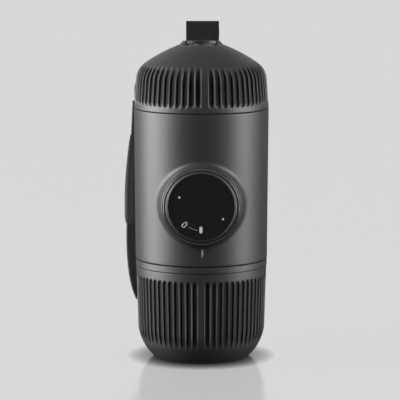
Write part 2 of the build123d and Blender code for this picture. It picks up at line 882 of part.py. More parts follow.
# ================= piston =================
rod_front = button_face - rod_sunk
head_radius = cylinder_bore - piston_side_gap
seal_back = piston_back - 1.4
wear_front = piston_front + 2.0
with BuildPart() as piston:
    with BuildSketch(Plane.YZ):
        with BuildLine():
            Polyline(
                (-rod_front, pump_z),
                (-rod_front, pump_z + rod_radius),
                (piston_front, pump_z + rod_radius),
                (piston_front, pump_z + head_radius),
                (wear_front, pump_z + head_radius),
                (wear_front, pump_z + head_radius - wear_groove_depth),
                (wear_front + wear_width, pump_z + head_radius - wear_groove_depth),
                (wear_front + wear_width, pump_z + head_radius),
                (seal_back - seal_width, pump_z + head_radius),
                (seal_back - seal_width, pump_z + head_radius - seal_groove_depth),
                (seal_back, pump_z + head_radius - seal_groove_depth),
                (seal_back, pump_z + head_radius),
                (piston_back, pump_z + head_radius),
                (piston_back, pump_z),
                close=True,
            )
        make_face()
    revolve(axis=pump_axis)
    with BuildSketch(Plane.XZ.offset(rod_front)):
        with Locations((0, pump_z)):
            Circle(screw_radius + fit_gap)
    extrude(amount=-button_screw_length - 0.5, mode=Mode.SUBTRACT)
piston.part.label = "piston"

with BuildPart() as piston_seal:
    with BuildSketch(Plane.XZ.offset(-seal_back + seat_gap)):
        with Locations((0, pump_z)):
            Circle(cylinder_bore - fit_gap)
            Circle(head_radius - seal_groove_depth + seat_gap, mode=Mode.SUBTRACT)
    extrude(amount=seal_width - 2 * seat_gap)
piston_seal.part.label = "piston_seal"

with BuildPart() as wear_band:
    with BuildSketch(Plane.XZ.offset(-wear_front - wear_width + seat_gap)):
        with Locations((0, pump_z)):
            Circle(cylinder_bore - fit_gap)
            Circle(head_radius - wear_groove_depth + seat_gap, mode=Mode.SUBTRACT)
    extrude(amount=wear_width - 2 * seat_gap)
wear_band.part.label = "wear_band"

recess_floor = button_face - button_disc_sunk - button_disc
with BuildPart() as button_screw:
    with BuildSketch(Plane.XZ.offset(rod_front)):
        with Locations((0, pump_z)):
            Circle(screw_radius)
    extrude(amount=-button_screw_length)
    with BuildSketch(Plane.XZ.offset(rod_front)):
        with Locations((0, pump_z)):
            Circle(shoulder_radius)
    extrude(amount=recess_floor - button_screw_head - seat_gap - rod_front)
    with BuildSketch(Plane.XZ.offset(recess_floor - button_screw_head - seat_gap)):
        with Locations((0, pump_z)):
            Circle(button_screw_head_radius)
    extrude(amount=button_screw_head)
button_screw.part.label = "button_screw"

web_back = recess_floor - button_web
pump_spring = wire_spring(
    (0, -pump_flange_front - 1.3 * return_spring_wire, pump_z),
    (0, -1, 0),
    web_back - pump_flange_front - return_spring_wire,
    return_spring_radius,
    return_spring_wire,
    return_spring_turns,
)
pump_spring.label = "pump_spring"

# ================= button =================
button_radius = boss_bore - run_gap
button_back = boss_front - pump_stroke - skirt_cover
screw_pocket = button_screw_head_radius + run_gap
pocket_floor = recess_floor - button_screw_head - 2 * seat_gap
with BuildPart() as button_cap:
    with BuildSketch(Plane.YZ):
        with BuildLine():
            Polyline(
                (-button_back, pump_z + button_radius - button_skirt),
                (-button_back, pump_z + button_radius),
                (-button_face, pump_z + button_radius),
                (-button_face, pump_z + button_disc_radius + fit_gap),
                (-recess_floor, pump_z + button_disc_radius + fit_gap),
                (-recess_floor, pump_z + screw_pocket),
                (-pocket_floor, pump_z + screw_pocket),
                (-pocket_floor, pump_z + shoulder_radius + seat_gap),
                (-rod_front - run_gap, pump_z + shoulder_radius + seat_gap),
                (-rod_front - run_gap, pump_z + button_hub_radius),
                (-web_back, pump_z + button_hub_radius),
                (-web_back, pump_z + button_radius - button_skirt),
                close=True,
            )
        make_face()
    revolve(axis=pump_axis)
    fillet(button_cap.edges().filter_by(GeomType.CIRCLE).sort_by(Axis.Y)[:2], button_round)
button_cap.part.label = "button_cap"

with BuildPart() as button_plate:
    with BuildSketch(Plane.XZ.offset(recess_floor + fit_gap)):
        with Locations((0, pump_z)):
            Circle(button_disc_radius)
    extrude(amount=button_disc)
button_plate.part.label = "button_plate"

# ================= tank =================
tank_inner = plate_collar_radius + run_gap
neck_outer = tank_inner + tank_neck_wall
tank_seal_z = tank_z - tank_neck_drop - 2 * seat_gap - ring_cord / 2
tank_seal = sealing_ring(neck_outer - seat_gap, tank_seal_z)
tank_seal.label = "tank_seal"

wall_z = tank_z + dome_wall_height
shoulder_z = tank_z + shoulder_end_height
shoulder_drop = dome_wall_radius - shoulder_end_radius
shoulder_rise = shoulder_end_height - dome_wall_height
socket_radius = crown_radius + run_gap
socket_z = rim_z - roof_drop
roof_z = socket_z - roof


def dome_curve(out, up):
    """The dome's outline from the top of its wall to its rim, moved out and up."""
    Bezier(
        (dome_wall_radius + out, wall_z + up),
        (dome_wall_radius - 0.1 * shoulder_drop + out, wall_z + 0.5 * shoulder_rise + up),
        (shoulder_end_radius + 0.525 * shoulder_drop + out, shoulder_z - 0.25 * shoulder_rise + up),
        (shoulder_end_radius + out, shoulder_z + up),
    )
    Bezier(
        (shoulder_end_radius + out, shoulder_z + up),
        ((shoulder_end_radius + socket_radius) / 2 + 0.4 + out, shoulder_z + 0.6 * (rim_z - shoulder_z) + up),
        (socket_radius + out, rim_z + up),
    )


with BuildPart() as dome_core:
    with BuildSketch(Plane.XZ):
        with BuildLine():
            Line((0, tank_z), (body_radius - groove_depth, tank_z))
            Line((body_radius - groove_depth, tank_z), (dome_wall_radius - groove_depth, wall_z))
            Bezier(
                (dome_wall_radius - groove_depth, wall_z),
                (dome_wall_radius - 1.4 * groove_depth, wall_z + 0.35 * shoulder_rise),
                (shoulder_end_radius + 0.65 * shoulder_drop, wall_z + 0.6 * shoulder_rise),
                (shoulder_end_radius + 0.33 * shoulder_drop, shoulder_z + 1),
            )
            Polyline(
                (shoulder_end_radius + 0.33 * shoulder_drop, shoulder_z + 1),
                (shoulder_end_radius + 0.33 * shoulder_drop, rim_z),
                (0, rim_z),
                (0, tank_z),
            )
        make_face()
    revolve(axis=Axis.Z)

with BuildPart() as tank:
    with BuildSketch(Plane.XZ):
        with BuildLine():
            Polyline(
                (tank_inner, tank_z - tank_neck_drop),
                (neck_outer, tank_z - tank_neck_drop),
                (neck_outer, tank_z),
                (body_radius, tank_z),
                (dome_wall_radius, wall_z),
            )
            dome_curve(0, 0)
            Polyline(
                (socket_radius, rim_z),
                (socket_radius, socket_z),
                (bush_radius + fit_gap, socket_z),
                (bush_radius + fit_gap, roof_z),
                (socket_radius + 0.5, roof_z),
                (shoulder_end_radius - 2.0, shoulder_z - 1.5),
            )
            Bezier(
                (shoulder_end_radius - 2.0, shoulder_z - 1.5),
                (shoulder_end_radius + 0.2 * shoulder_drop, shoulder_z - 0.4 * shoulder_rise),
                (dome_wall_radius - tank_wall - 0.2, wall_z + 0.3 * shoulder_rise),
                (dome_wall_radius - tank_wall, wall_z),
            )
            Polyline(
                (dome_wall_radius - tank_wall, wall_z),
                (body_radius - tank_wall, tank_z + tank_neck_height + 2.5),
                (tank_inner, tank_z + tank_neck_height),
                (tank_inner, tank_z - tank_neck_drop),
            )
        make_face()
    revolve(axis=Axis.Z)
    add(
        finger_grooves(
            dome_groove_count,
            dome_land_angle,
            body_radius,
            tank_z + dome_groove_low,
            tank_z + dome_groove_high,
            dome_core.part,
        ),
        mode=Mode.SUBTRACT,
    )
tank.part.label = "tank"

# ================= crown =================
crown_low = socket_z + run_gap
crown_top = rim_z + crown_proud
pocket_z = crown_top - crown_recess_depth
bush_top = crown_low - seat_gap
with BuildPart() as crown_bush:
    with BuildSketch(Plane.XY.offset(roof_z - run_gap)):
        Circle(bush_radius)
    extrude(amount=bush_top - roof_z + run_gap)
    with BuildSketch(Plane.XY.offset(roof_z - run_gap)):
        Circle(bush_flange_radius)
    extrude(amount=-bush_flange)
    with BuildSketch(Plane.XY.offset(bush_top)):
        Circle(crown_screw_radius + fit_gap)
    extrude(amount=-3.2, mode=Mode.SUBTRACT)
crown_bush.part.label = "crown_bush"

with BuildPart() as crown_screw:
    with BuildSketch(Plane.XY.offset(pocket_z + seat_gap)):
        Circle(crown_screw_head_radius)
        RegularPolygon(crown_screw_radius, 6, mode=Mode.SUBTRACT)
    extrude(amount=crown_screw_head)
    with BuildSketch(Plane.XY.offset(pocket_z + seat_gap)):
        Circle(crown_screw_head_radius)
    extrude(amount=crown_screw_head * 0.3)
    with BuildSketch(Plane.XY.offset(pocket_z + seat_gap)):
        Circle(crown_screw_radius)
    extrude(amount=-(pocket_z - bush_top + 3.0))
crown_screw.part.label = "crown_screw"

# Height of the dome's cone behind the pin, and of the pin above it.
cone_slope = (rim_z - shoulder_z) / (shoulder_end_radius - socket_radius)
pin_rise = run_gap + webbing + pin_radius + 2 * run_gap
pin_z = rim_z - cone_slope * (pin_y - socket_radius) + pin_rise * (1 + cone_slope**2) ** 0.5
# Tongue that follows the dome's back down to the strap pin.
with BuildPart() as tongue:
    with BuildSketch(Plane.XZ):
        with BuildLine():
            dome_curve(0.7 * run_gap, 0.85 * run_gap)
            Line(
                (socket_radius + 0.7 * run_gap, rim_z + 0.85 * run_gap),
                (crown_radius - crown_rim, pocket_z),
            )
            Line((crown_radius - crown_rim, pocket_z), (crown_radius - crown_rim, rim_z + tongue_thickness))
            Line(
                (crown_radius - crown_rim, rim_z + tongue_thickness),
                (
                    socket_radius + 0.7 * (run_gap + tongue_thickness),
                    rim_z + 0.85 * (run_gap + tongue_thickness),
                ),
            )
            dome_curve(0.7 * (run_gap + tongue_thickness), 0.85 * (run_gap + tongue_thickness))
            Line(
                (
                    dome_wall_radius + 0.7 * (run_gap + tongue_thickness),
                    wall_z + 0.85 * (run_gap + tongue_thickness),
                ),
                (dome_wall_radius + 0.7 * run_gap, wall_z + 0.85 * run_gap),
            )
        make_face()
    revolve(axis=Axis.Z)
    # Cheeks stand on it either side of the webbing.
    with BuildSketch(Plane.YZ.offset(-tongue_width / 2)):
        with Locations((pin_y, pin_z)):
            Circle(cheek_radius)
        with Locations((pin_y - 3, pin_z - pin_rise)):
            Circle(0.6)
        with Locations((pin_y + 1, pin_z - pin_rise - 1)):
            Circle(0.6)
        make_hull()
    extrude(amount=tongue_width)
    with BuildSketch(Plane.XZ):
        with BuildLine():
            dome_curve(0.7 * run_gap, 0.85 * run_gap)
            Polyline(
                (socket_radius + 0.7 * run_gap, rim_z + 0.85 * run_gap),
                (socket_radius, socket_z),
                (0, socket_z),
                (0, wall_z + 0.85 * run_gap),
                (dome_wall_radius + 0.7 * run_gap, wall_z + 0.85 * run_gap),
            )
        make_face()
    revolve(axis=Axis.Z, mode=Mode.SUBTRACT)
    with BuildSketch(Plane.XY.offset(tank_z)):
        with BuildLine():
            Polyline(
                (-tongue_root_width / 2, crown_hub_radius),
                (-tongue_width / 2, pin_y - 8),
                (-tongue_width / 2, pin_y + 2),
                (tongue_width / 2, pin_y + 2),
                (tongue_width / 2, pin_y - 8),
                (tongue_root_width / 2, crown_hub_radius),
                close=True,
            )
        make_face()
        with Locations((0, pin_y)):
            Rectangle(tongue_width - 2 * pin_cheek, 9, mode=Mode.SUBTRACT)
    extrude(amount=2 * dome_height, mode=Mode.INTERSECT)

with BuildPart() as crown:
    with BuildSketch(Plane.XY.offset(crown_low)):
        Circle(crown_radius)
    extrude(amount=crown_top - crown_low)
    fillet(crown.edges().group_by(Axis.Z)[-1], rim_round)
    with BuildSketch(Plane.XY.offset(crown_top)):
        Circle(crown_radius - crown_rim)
        Circle(crown_hub_radius, mode=Mode.SUBTRACT)
        Rectangle(2 * crown_radius, crown_slot_length, mode=Mode.INTERSECT)
    extrude(amount=-crown_slot_depth, mode=Mode.SUBTRACT)
    with BuildSketch(Plane.XY.offset(crown_top)):
        Circle(crown_recess_radius)
    extrude(amount=-crown_recess_depth, mode=Mode.SUBTRACT)
    with BuildSketch(Plane.XY.offset(crown_top)):
        with PolarLocations(crown_hub_radius, 4, 45):
            Rectangle(crown_hub_radius, notch_width)
        Circle(crown_hub_radius, mode=Mode.INTERSECT)
    extrude(amount=-notch_depth, mode=Mode.SUBTRACT)
    with BuildSketch(Plane.XY.offset(crown_top)):
        Circle(crown_screw_radius + 3 * fit_gap)
    extrude(amount=crown_low - crown_top, mode=Mode.SUBTRACT)
    add(tongue.part)
    with BuildSketch(Plane.YZ.offset(-tongue_width / 2)):
        with Locations((pin_y, pin_z)):
            Circle(pin_radius + fit_gap)
    extrude(amount=tongue_width, mode=Mode.SUBTRACT)
crown.part.label = "crown"

with BuildPart() as strap_pin:
    with BuildSketch(Plane.YZ.offset(-tongue_width / 2)):
        with Locations((pin_y, pin_z)):
            Circle(pin_radius)
    extrude(amount=tongue_width)
strap_pin.part.label = "strap_pin"

# ================= strap =================
with BuildPart() as strap_tab:
    with BuildSketch(Plane.YZ.offset(tab_offset - webbing_width / 2)):
        with Locations((pin_y, pin_z)):
            Circle(pin_radius + run_gap / 2 + webbing)
        with Locations((pin_y, pin_z + tab_height - webbing)):
            Circle(webbing + fit_gap)
        make_hull()
    extrude(amount=webbing_width)
    with BuildSketch(Plane.YZ.offset(tab_offset - webbing_width / 2)):
        with Locations((pin_y, pin_z)):
            Circle(pin_radius + run_gap / 2)
        with Locations((pin_y, pin_z + 3.5 * pin_radius)):
            Circle(fit_gap)
        make_hull()
    extrude(amount=webbing_width, mode=Mode.SUBTRACT)
strap_tab.part.label = "strap_tab"

neck_start = Vector(tab_offset, pin_y + webbing + 2 * run_gap + webbing / 2, pin_z + tab_height - 2.5 * webbing)
neck_bend = strap_out * loop_top_radius + Vector(0, 0, loop_top + neck_rise)
with BuildPart() as strap_neck:
    with BuildLine(mode=Mode.PRIVATE) as neck_path:
        Bezier(
            neck_start,
            neck_start + Vector(neck_sway, neck_out, -neck_out),
            neck_start + Vector(-neck_sway, neck_out, -neck_fall),
            neck_bend + strap_plane.z_dir * neck_side + strap_out * neck_away + Vector(0, 0, neck_lift),
            neck_bend,
        )
    turns = 10
    for step in range(turns + 1):
        share = step / turns
        along = neck_path.line % share
        facing = Vector(0, 1, 0) * (1 - share) + strap_out * share
        with BuildSketch(Plane(neck_path.line @ share, x_dir=facing.cross(along), z_dir=along)):
            Rectangle(webbing_width, webbing)
    loft()
    with BuildSketch(Plane(neck_bend, x_dir=strap_plane.z_dir, z_dir=(0, 0, 1))):
        Rectangle(webbing_width, webbing)
    extrude(amount=-neck_overlap - neck_rise)
strap_neck.part.label = "strap_neck"

leg_top = webbing / 2 + fit_gap
loop_turn = (loop_belly + loop_low) / 2


def loop_side(skin):
    """The loop's outer surface, or one moved in by skin, from the top of the outer leg round to the inner's."""
    Line(
        (loop_top_radius + leg_top + webbing - skin, loop_top),
        (loop_belly_radius - skin, loop_belly),
    )
    Bezier(
        (loop_belly_radius - skin, loop_belly),
        (loop_belly_radius + 0.6 - skin, loop_turn),
        (loop_belly_radius - 1.4 - skin / 2, loop_low + skin),
        ((loop_belly_radius + loop_inner_radius) / 2, loop_low + skin),
    )
    Bezier(
        ((loop_belly_radius + loop_inner_radius) / 2, loop_low + skin),
        (loop_inner_radius + 1.0 + skin / 2, loop_low + skin),
        (loop_inner_radius + skin, loop_low + 6),
        (loop_inner_radius + skin, loop_turn),
    )
    Line(
        (loop_inner_radius + skin, loop_turn),
        (loop_top_radius - leg_top - webbing + skin, loop_top),
    )


with BuildPart() as strap_loop:
    with BuildSketch(strap_plane):
        with BuildLine():
            loop_side(0)
            Line(
                (loop_top_radius - leg_top - webbing, loop_top),
                (loop_top_radius - leg_top, loop_top),
            )
            loop_side(webbing)
            Line(
                (loop_top_radius + leg_top, loop_top),
                (loop_top_radius + leg_top + webbing, loop_top),
            )
        make_face()
    extrude(amount=webbing_width / 2, both=True)
strap_loop.part.label = "strap_loop"

# The pad lies along the straight outer leg of the loop.
leg_lean = (loop_belly_radius - loop_top_radius - leg_top - webbing) / (loop_top - loop_belly)
pad_radius = loop_belly_radius - webbing / 2 - leg_lean * (pad_middle - loop_belly)
pad_up = (strap_out * -leg_lean + Vector(0, 0, 1)).normalized()
pad_plane = Plane(
    strap_out * pad_radius + Vector(0, 0, pad_middle),
    x_dir=strap_plane.z_dir,
    z_dir=strap_plane.z_dir.cross(pad_up),
)
with BuildPart() as strap_pad:
    with BuildSketch(pad_plane):
        with BuildLine():
            ThreePointArc(
                (pad_end_width / 2, -pad_length / 2), (pad_width / 2, 0), (pad_end_width / 2, pad_length / 2)
            )
            Line((pad_end_width / 2, pad_length / 2), (-pad_end_width / 2, pad_length / 2))
            ThreePointArc(
                (-pad_end_width / 2, pad_length / 2), (-pad_width / 2, 0), (-pad_end_width / 2, -pad_length / 2)
            )
            Line((-pad_end_width / 2, -pad_length / 2), (pad_end_width / 2, -pad_length / 2))
        make_face()
    extrude(amount=pad_thickness / 2, both=True)
    with BuildSketch(pad_plane.offset(-webbing / 2 - seat_gap)):
        Rectangle(webbing_width + 2 * seat_gap, 2 * pad_length)
    extrude(amount=webbing + 2 * seat_gap, mode=Mode.SUBTRACT)
    chamfer(strap_pad.edges().group_by(Axis(pad_plane.origin, pad_plane.z_dir))[-1], pad_bevel)
    chamfer(strap_pad.edges().group_by(Axis(pad_plane.origin, pad_plane.z_dir))[0], pad_bevel)
    with BuildSketch(Plane(pad_plane.origin, x_dir=pad_up, z_dir=strap_plane.z_dir)):
        with BuildLine():
            Polyline(
                (-pad_length, -pad_thickness),
                (pad_taper, -pad_thickness / 2),
                (0.51 * pad_length, -pad_top_thickness / 2),
                (0.51 * pad_length, pad_top_thickness / 2),
                (pad_taper, pad_thickness / 2),
                (-pad_length, pad_thickness),
                close=True,
            )
        make_face()
    extrude(amount=pad_width, both=True, mode=Mode.INTERSECT)
strap_pad.part.label = "strap_pad"

for piece in (
    cup.part,
    portafilter.part,
    cup_seal,
    outlet_nozzle.part,
    outlet_washer.part,
    filter_basket.part,
    brew_gasket.part,
    brew_head.part,
    shower_screen.part,
    shower_screw.part,
    body_shell.part,
    trim_ring.part,
    pump_cylinder.part,
    pump_screws.part,
    block_seal.part,
    valve_block.part,
    block_screws.part,
    inlet_seat.part,
    inlet_duckbill.part,
    outlet_ball.part,
    outlet_spring,
    outlet_cage.part,
    feed_sleeve.part,
    relief_poppet.part,
    relief_spring,
    relief_cap.part,
    tank_plate.part,
    inlet_strainer.part,
    snap_retainer.part,
    frame_rods.part,
    suction_tube.part,
    piston.part,
    piston_seal.part,
    wear_band.part,
    button_screw.part,
    pump_spring,
    button_cap.part,
    button_plate.part,
    tank_seal,
    tank.part,
    crown_bush.part,
    crown_screw.part,
    crown.part,
    strap_pin.part,
    strap_tab.part,
    strap_neck.part,
    strap_loop.part,
    strap_pad.part,
):
    export_step(piece, f"parts/{piece.label}.step")
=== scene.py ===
# %% [markdown]
# # A hand-pumped espresso maker, dressed in Blender
#
# The maker already exists as solid pieces on named bodies, packed in metres with Z up. This lesson
# loads them, keeps what is right, and builds the pieces that show again as finer meshes: the ribbed
# cup and tank, the body with its pump boss, the button and the strap. Each step says what the real
# piece is, how it could be made, and why this way was chosen.

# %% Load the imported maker
import json
import math

import bmesh
import bpy
import numpy as np
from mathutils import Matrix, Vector


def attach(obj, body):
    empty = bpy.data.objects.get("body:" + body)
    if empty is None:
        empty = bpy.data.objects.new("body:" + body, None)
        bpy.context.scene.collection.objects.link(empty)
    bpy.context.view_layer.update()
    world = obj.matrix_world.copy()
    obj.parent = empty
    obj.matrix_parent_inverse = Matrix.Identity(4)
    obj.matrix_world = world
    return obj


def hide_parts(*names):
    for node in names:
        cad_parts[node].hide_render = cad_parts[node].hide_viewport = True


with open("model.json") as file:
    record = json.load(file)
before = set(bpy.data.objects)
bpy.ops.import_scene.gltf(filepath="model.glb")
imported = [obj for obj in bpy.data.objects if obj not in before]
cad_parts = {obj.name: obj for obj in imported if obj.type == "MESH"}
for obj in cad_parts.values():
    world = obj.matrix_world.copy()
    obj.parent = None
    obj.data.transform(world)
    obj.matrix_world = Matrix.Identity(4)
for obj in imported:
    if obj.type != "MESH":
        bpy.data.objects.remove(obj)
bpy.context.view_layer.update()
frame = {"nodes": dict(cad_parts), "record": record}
nodes = frame["nodes"]
MM = 0.001

# %% [markdown]
# ## Camera
#
# A product shot is taken from far away with a long lens, so that the sides stay nearly parallel. The
# camera looks down by eight degrees, which opens the seams into shallow curves and shows a sliver of
# the crown's top.

# %% Camera
FRONT = 270.0  # the button's side, degrees from +X
CAMERA_PLACE = (-0.65 * MM, -1210.0 * MM, 247.7 * MM)
LOOK_DOWN = 8.0  # degrees
camera_data = bpy.data.cameras.new("camera")
camera_data.sensor_width = 36.0
camera_data.lens = 223.2
camera_data.clip_end = 20.0
camera = bpy.data.objects.new("camera", camera_data)
bpy.context.scene.collection.objects.link(camera)
camera.location = CAMERA_PLACE
camera.rotation_euler = (math.radians(90.0 - LOOK_DOWN), 0.0, 0.0)
bpy.context.scene.camera = camera
print("camera", tuple(round(c, 4) for c in camera.location), "lens", camera_data.lens)

# %% [markdown]
# ## Light
#
# Satin plastic is described by what it reflects. Two tall soft boxes, one on each side, draw the two
# long bright bands down the body and leave its middle dark. A wide one overhead lights the shoulder
# of the tank. They are area lights, because their size sets how soft the bands are. The strap hangs
# in the maker's own shade, so a spot with a snoot, which keeps its beam narrow and its edge sharp,
# stands in front and lights the strap alone. It aims at the air beside the body for that.

# %% Light
world = bpy.data.worlds.new("studio")
world.use_nodes = True
world.node_tree.nodes["Background"].inputs["Color"].default_value = (0.9, 0.95, 1.0, 1.0)
world.node_tree.nodes["Background"].inputs["Strength"].default_value = 0.055
bpy.context.scene.world = world
bpy.context.scene.view_settings.view_transform = "Standard"


def lamp(name, kind, place, target, power, **form):
    """A studio lamp at place that looks at target, in metres; form sets its size and its edge."""
    data = bpy.data.lights.new(name, kind)
    data.energy = power
    for key, value in form.items():
        setattr(data, key, value)
    made = bpy.data.objects.new(name, data)
    made.location = place
    made.rotation_euler = (Vector(target) - Vector(place)).to_track_quat("-Z", "Y").to_euler()
    bpy.context.scene.collection.objects.link(made)


def soft_box(name, place, width, height, power):
    """A rectangular soft box that looks at the body's middle."""
    lamp(name, "AREA", place, BODY_MIDDLE, power, shape="RECTANGLE", size=width, size_y=height)


BODY_MIDDLE, BESIDE_STRAP = (0.0, 0.0, 0.08), (-0.226, 0.0, 0.078)
soft_box("left_box", (-0.95, -0.10, 0.26), 0.88, 1.0, 39.0)
soft_box("right_box", (0.95, -0.24, 0.28), 0.60, 0.9, 20.0)
soft_box("top_box", (0.0, 0.25, 1.2), 1.2, 0.9, 0.8)
lamp(
    "strap_snoot", "SPOT", (-0.30, -1.0, 0.10), BESIDE_STRAP, 62.0,
    spot_size=math.radians(21.8), spot_blend=0.06, shadow_soft_size=0.004,
)

# %% [markdown]
# ## Shader maths as Python
#
# A material is a graph of nodes. Wiring it by hand is long, so a small class wraps a socket: adding or
# multiplying two wires adds the Math node that does it, and 1 - wire works as well. Functions that
# have no sign of their own, such as a square root, are methods with a plain name.


# %% Wires
class Wire:
    """An output socket; arithmetic on it adds Math nodes."""

    def __init__(self, finish, socket):
        self.finish, self.socket = finish, socket

    def maths(self, operation, *values):
        return self.finish.node("ShaderNodeMath", {"operation": operation}, dict(enumerate(values)))

    def __add__(self, other):
        return self.maths("ADD", self, other)

    def __sub__(self, other):
        return self.maths("SUBTRACT", self, other)

    def __mul__(self, other):
        return self.maths("MULTIPLY", self, other)

    def __radd__(self, other):
        return self.maths("ADD", other, self)

    def __rsub__(self, other):
        return self.maths("SUBTRACT", other, self)

    def __rmul__(self, other):
        return self.maths("MULTIPLY", other, self)

    def root(self):
        return self.maths("SQRT", self)

    def raised(self, power):
        return self.maths("POWER", self, power)

    def size(self):
        """The value without its sign."""
        return self.maths("ABSOLUTE", self)

    def sine(self):
        return self.maths("SINE", self)

    def part_over(self):
        """What is left over a whole number."""
        return self.maths("FRACT", self)

    def larger(self, other):
        return self.maths("MAXIMUM", self, other)

    def under(self, edge, soft):
        """1 where the value is below edge, 0 above, with a soft step between."""
        return self.finish.node(
            "ShaderNodeMapRange",
            {"interpolation_type": "SMOOTHSTEP"},
            {"Value": self, "From Min": edge - soft, "From Max": edge + soft, "To Min": 1.0, "To Max": 0.0},
        )


print("wires ready")

# %% [markdown]
# ### A finish under way
#
# A finish is one material being made. It starts with a Principled shader, gives the place on the piece
# in millimetres, so that a grain has a real size, and makes every kind of node in one method. Colours
# are blended by a Mix node, because a Math node would turn them grey.


# %% Finishes
class Finish:
    """A material being made, with its Principled shader ready."""

    def __init__(self, name, **settings):
        self.material = bpy.data.materials.new(name)
        self.material.use_nodes = True
        self.tree = self.material.node_tree
        self.tree.nodes.clear()
        self.shader = self.tree.nodes.new("ShaderNodeBsdfPrincipled")
        output = self.tree.nodes.new("ShaderNodeOutputMaterial")
        self.tree.links.new(self.shader.outputs["BSDF"], output.inputs["Surface"])
        for key, value in settings.items():
            self.set(key.replace("_", " ").title(), value)

    def plug(self, socket, value):
        """Link a wire to an input socket, or give the socket a plain value."""
        if isinstance(value, Wire):
            self.tree.links.new(value.socket, socket)
        else:
            socket.default_value = value

    def set(self, name, value):
        """Set a socket of the Principled shader, or wire it up."""
        self.plug(self.shader.inputs[name.replace("Ior", "IOR")], value)

    def node(self, kind, settings=None, sockets=None, out=0):
        """Any node: its type, its settings, the values or links of its sockets, and the output to use."""
        made = self.tree.nodes.new(kind)
        for key, value in (settings or {}).items():
            setattr(made, key, value)
        for key, value in (sockets or {}).items():
            self.plug(made.inputs[key], value)
        return Wire(self, made.outputs[out])

    def place(self):
        """The point on the piece in millimetres, as three wires and as one vector."""
        point = self.node("ShaderNodeTexCoord", out="Object")
        scaled = self.node("ShaderNodeVectorMath", {"operation": "SCALE"}, {0: point, "Scale": 1 / MM})
        split = self.node("ShaderNodeSeparateXYZ", sockets={0: scaled})
        parts = [Wire(self, split.socket.node.outputs[i]) for i in range(3)]
        return parts, scaled

    def noise(self, where, scale, detail=2.0, roughness=0.5):
        """Soft random clouds from 0 to 1; scale is in clouds a millimetre."""
        sockets = {"Vector": where, "Scale": scale, "Detail": detail, "Roughness": roughness}
        return self.node("ShaderNodeTexNoise", sockets=sockets)

    def stretched(self, where, factors):
        """A place scaled along each axis, which draws a pattern out into lines."""
        return self.node("ShaderNodeVectorMath", {"operation": "MULTIPLY"}, {0: where, 1: factors})

    def blend(self, share, first, second):
        """A colour that goes from first to second as share goes from 0 to 1."""
        return self.node("ShaderNodeMix", {"data_type": "RGBA"}, {0: share, 6: first, 7: second}, 2)

    def bump(self, height, distance, strength):
        """Relief in the shading alone: height 0 to 1 stands for distance in metres."""
        sockets = {"Height": height, "Distance": distance, "Strength": strength}
        self.set("Normal", self.node("ShaderNodeBump", sockets=sockets))


def grey(level, warmth=0.0):
    """A grey as red, green, blue and alpha; warmth tips it towards red."""
    return (level * (1 + warmth), level, level * (1 - warmth), 1.0)


finishes = {}  # by the name of their slot
print("a middle grey is", grey(0.18))

# %% [markdown]
# ## Moulded shell plastic
#
# The shells are dark grey moulded plastic with a fine satin texture. A flat colour would look like
# paint, so the colour drifts a little, the roughness follows a fine grain, and a very shallow bump at
# the grain's scale breaks up the reflections. The floors and sides of the grooves are painted darker,
# as painted shade, and are more matt, because hands polish only the ridges.


# %% Shell plastic
CUP_GROOVES, CUP_LAND = 65, -0.2  # how many, and the plain land's angle from the front in degrees
TANK_GROOVES, TANK_LAND = 63, 2.95
CUP_SHADE_AND_MATT, TANK_SHADE_AND_MATT = (6.5, 40.6, 0.7), (127.4, 144.5, 1.0)  # painted shade and matt in the grooves: low, high, softness, in mm
SHADE_AND_MATT_REACH = 0.352  # how far the painted shade and the matt finish reach from a groove's middle, in pitches


def groove_shade_and_matt(x, y, z, count, land, low, high, soft):
    """1 on the floors and sides of a ring of grooves between two heights, 0 on the ridges."""
    turn = x.maths("ARCTAN2", x, y * -1.0)
    number = turn * (count / (2 * math.pi)) - land * count / 360.0
    off_middle = ((number + (count + 0.5)).part_over() - 0.5).size()
    floor = off_middle.under(SHADE_AND_MATT_REACH, 0.02) * (1.0 - number.size().under(0.5, 0.01))
    return floor * (1.0 - z.under(low, soft)) * z.under(high, soft)


def shell_plastic():
    """Satin plastic, more matt in the grooves, and darker there as painted shade."""
    finish = Finish("shell_plastic", specular_ior_level=0.5)
    (x, y, z), point = finish.place()
    grain = finish.noise(point, 9.0, 3.0, 0.6)
    drift = finish.noise(point, 0.06, 2.0)
    floor = groove_shade_and_matt(x, y, z, CUP_GROOVES, CUP_LAND, *CUP_SHADE_AND_MATT)
    floor = floor + groove_shade_and_matt(x, y, z, TANK_GROOVES, TANK_LAND, *TANK_SHADE_AND_MATT)
    worn = finish.blend(drift, grey(0.020, -0.02), grey(0.025, -0.01))
    # the grooves get a darker colour: painted shade
    finish.set("Base Color", finish.blend(floor, worn, grey(0.011)))
    finish.set("Roughness", 0.44 + grain * 0.10 + floor * 0.34)
    finish.bump(grain, 0.012 * MM, 0.35)
    return finish.material


finishes["shell"] = shell_plastic()
print(CUP_GROOVES, "grooves round the cup,", TANK_GROOVES, "round the tank")

# %% [markdown]
# ## Other plastics
#
# The button's solids are polished, so they are shown by their reflections: a low roughness with
# hairline wear, drawn out by stretching the noise along one axis. The pump and the brew head are plain
# satin plastic, and a faint flow pattern from the mould keeps them from looking like one flat tone.


# %% Other plastics
def gloss_black():
    """Polished black plastic with fine hairline wear."""
    finish = Finish("gloss_black", specular_ior_level=0.5)
    _, point = finish.place()
    wear = finish.noise(finish.stretched(point, (0.3, 1.0, 4.0)), 3.0, 4.0, 0.7)
    finish.set("Base Color", finish.blend(wear, grey(0.010), grey(0.016)))
    finish.set("Roughness", 0.16 + wear * 0.10)
    return finish.material


def plain_plastic(name, level, rough):
    """Inner plastic with a faint flow pattern from the mould."""
    finish = Finish(name, specular_ior_level=0.5)
    _, point = finish.place()
    grain = finish.noise(point, 2.5, 3.0)
    finish.set("Base Color", finish.blend(grain, grey(level), grey(level * 1.25)))
    finish.set("Roughness", rough + grain * 0.12)
    finish.bump(grain, 0.02 * MM, 0.3)
    return finish.material


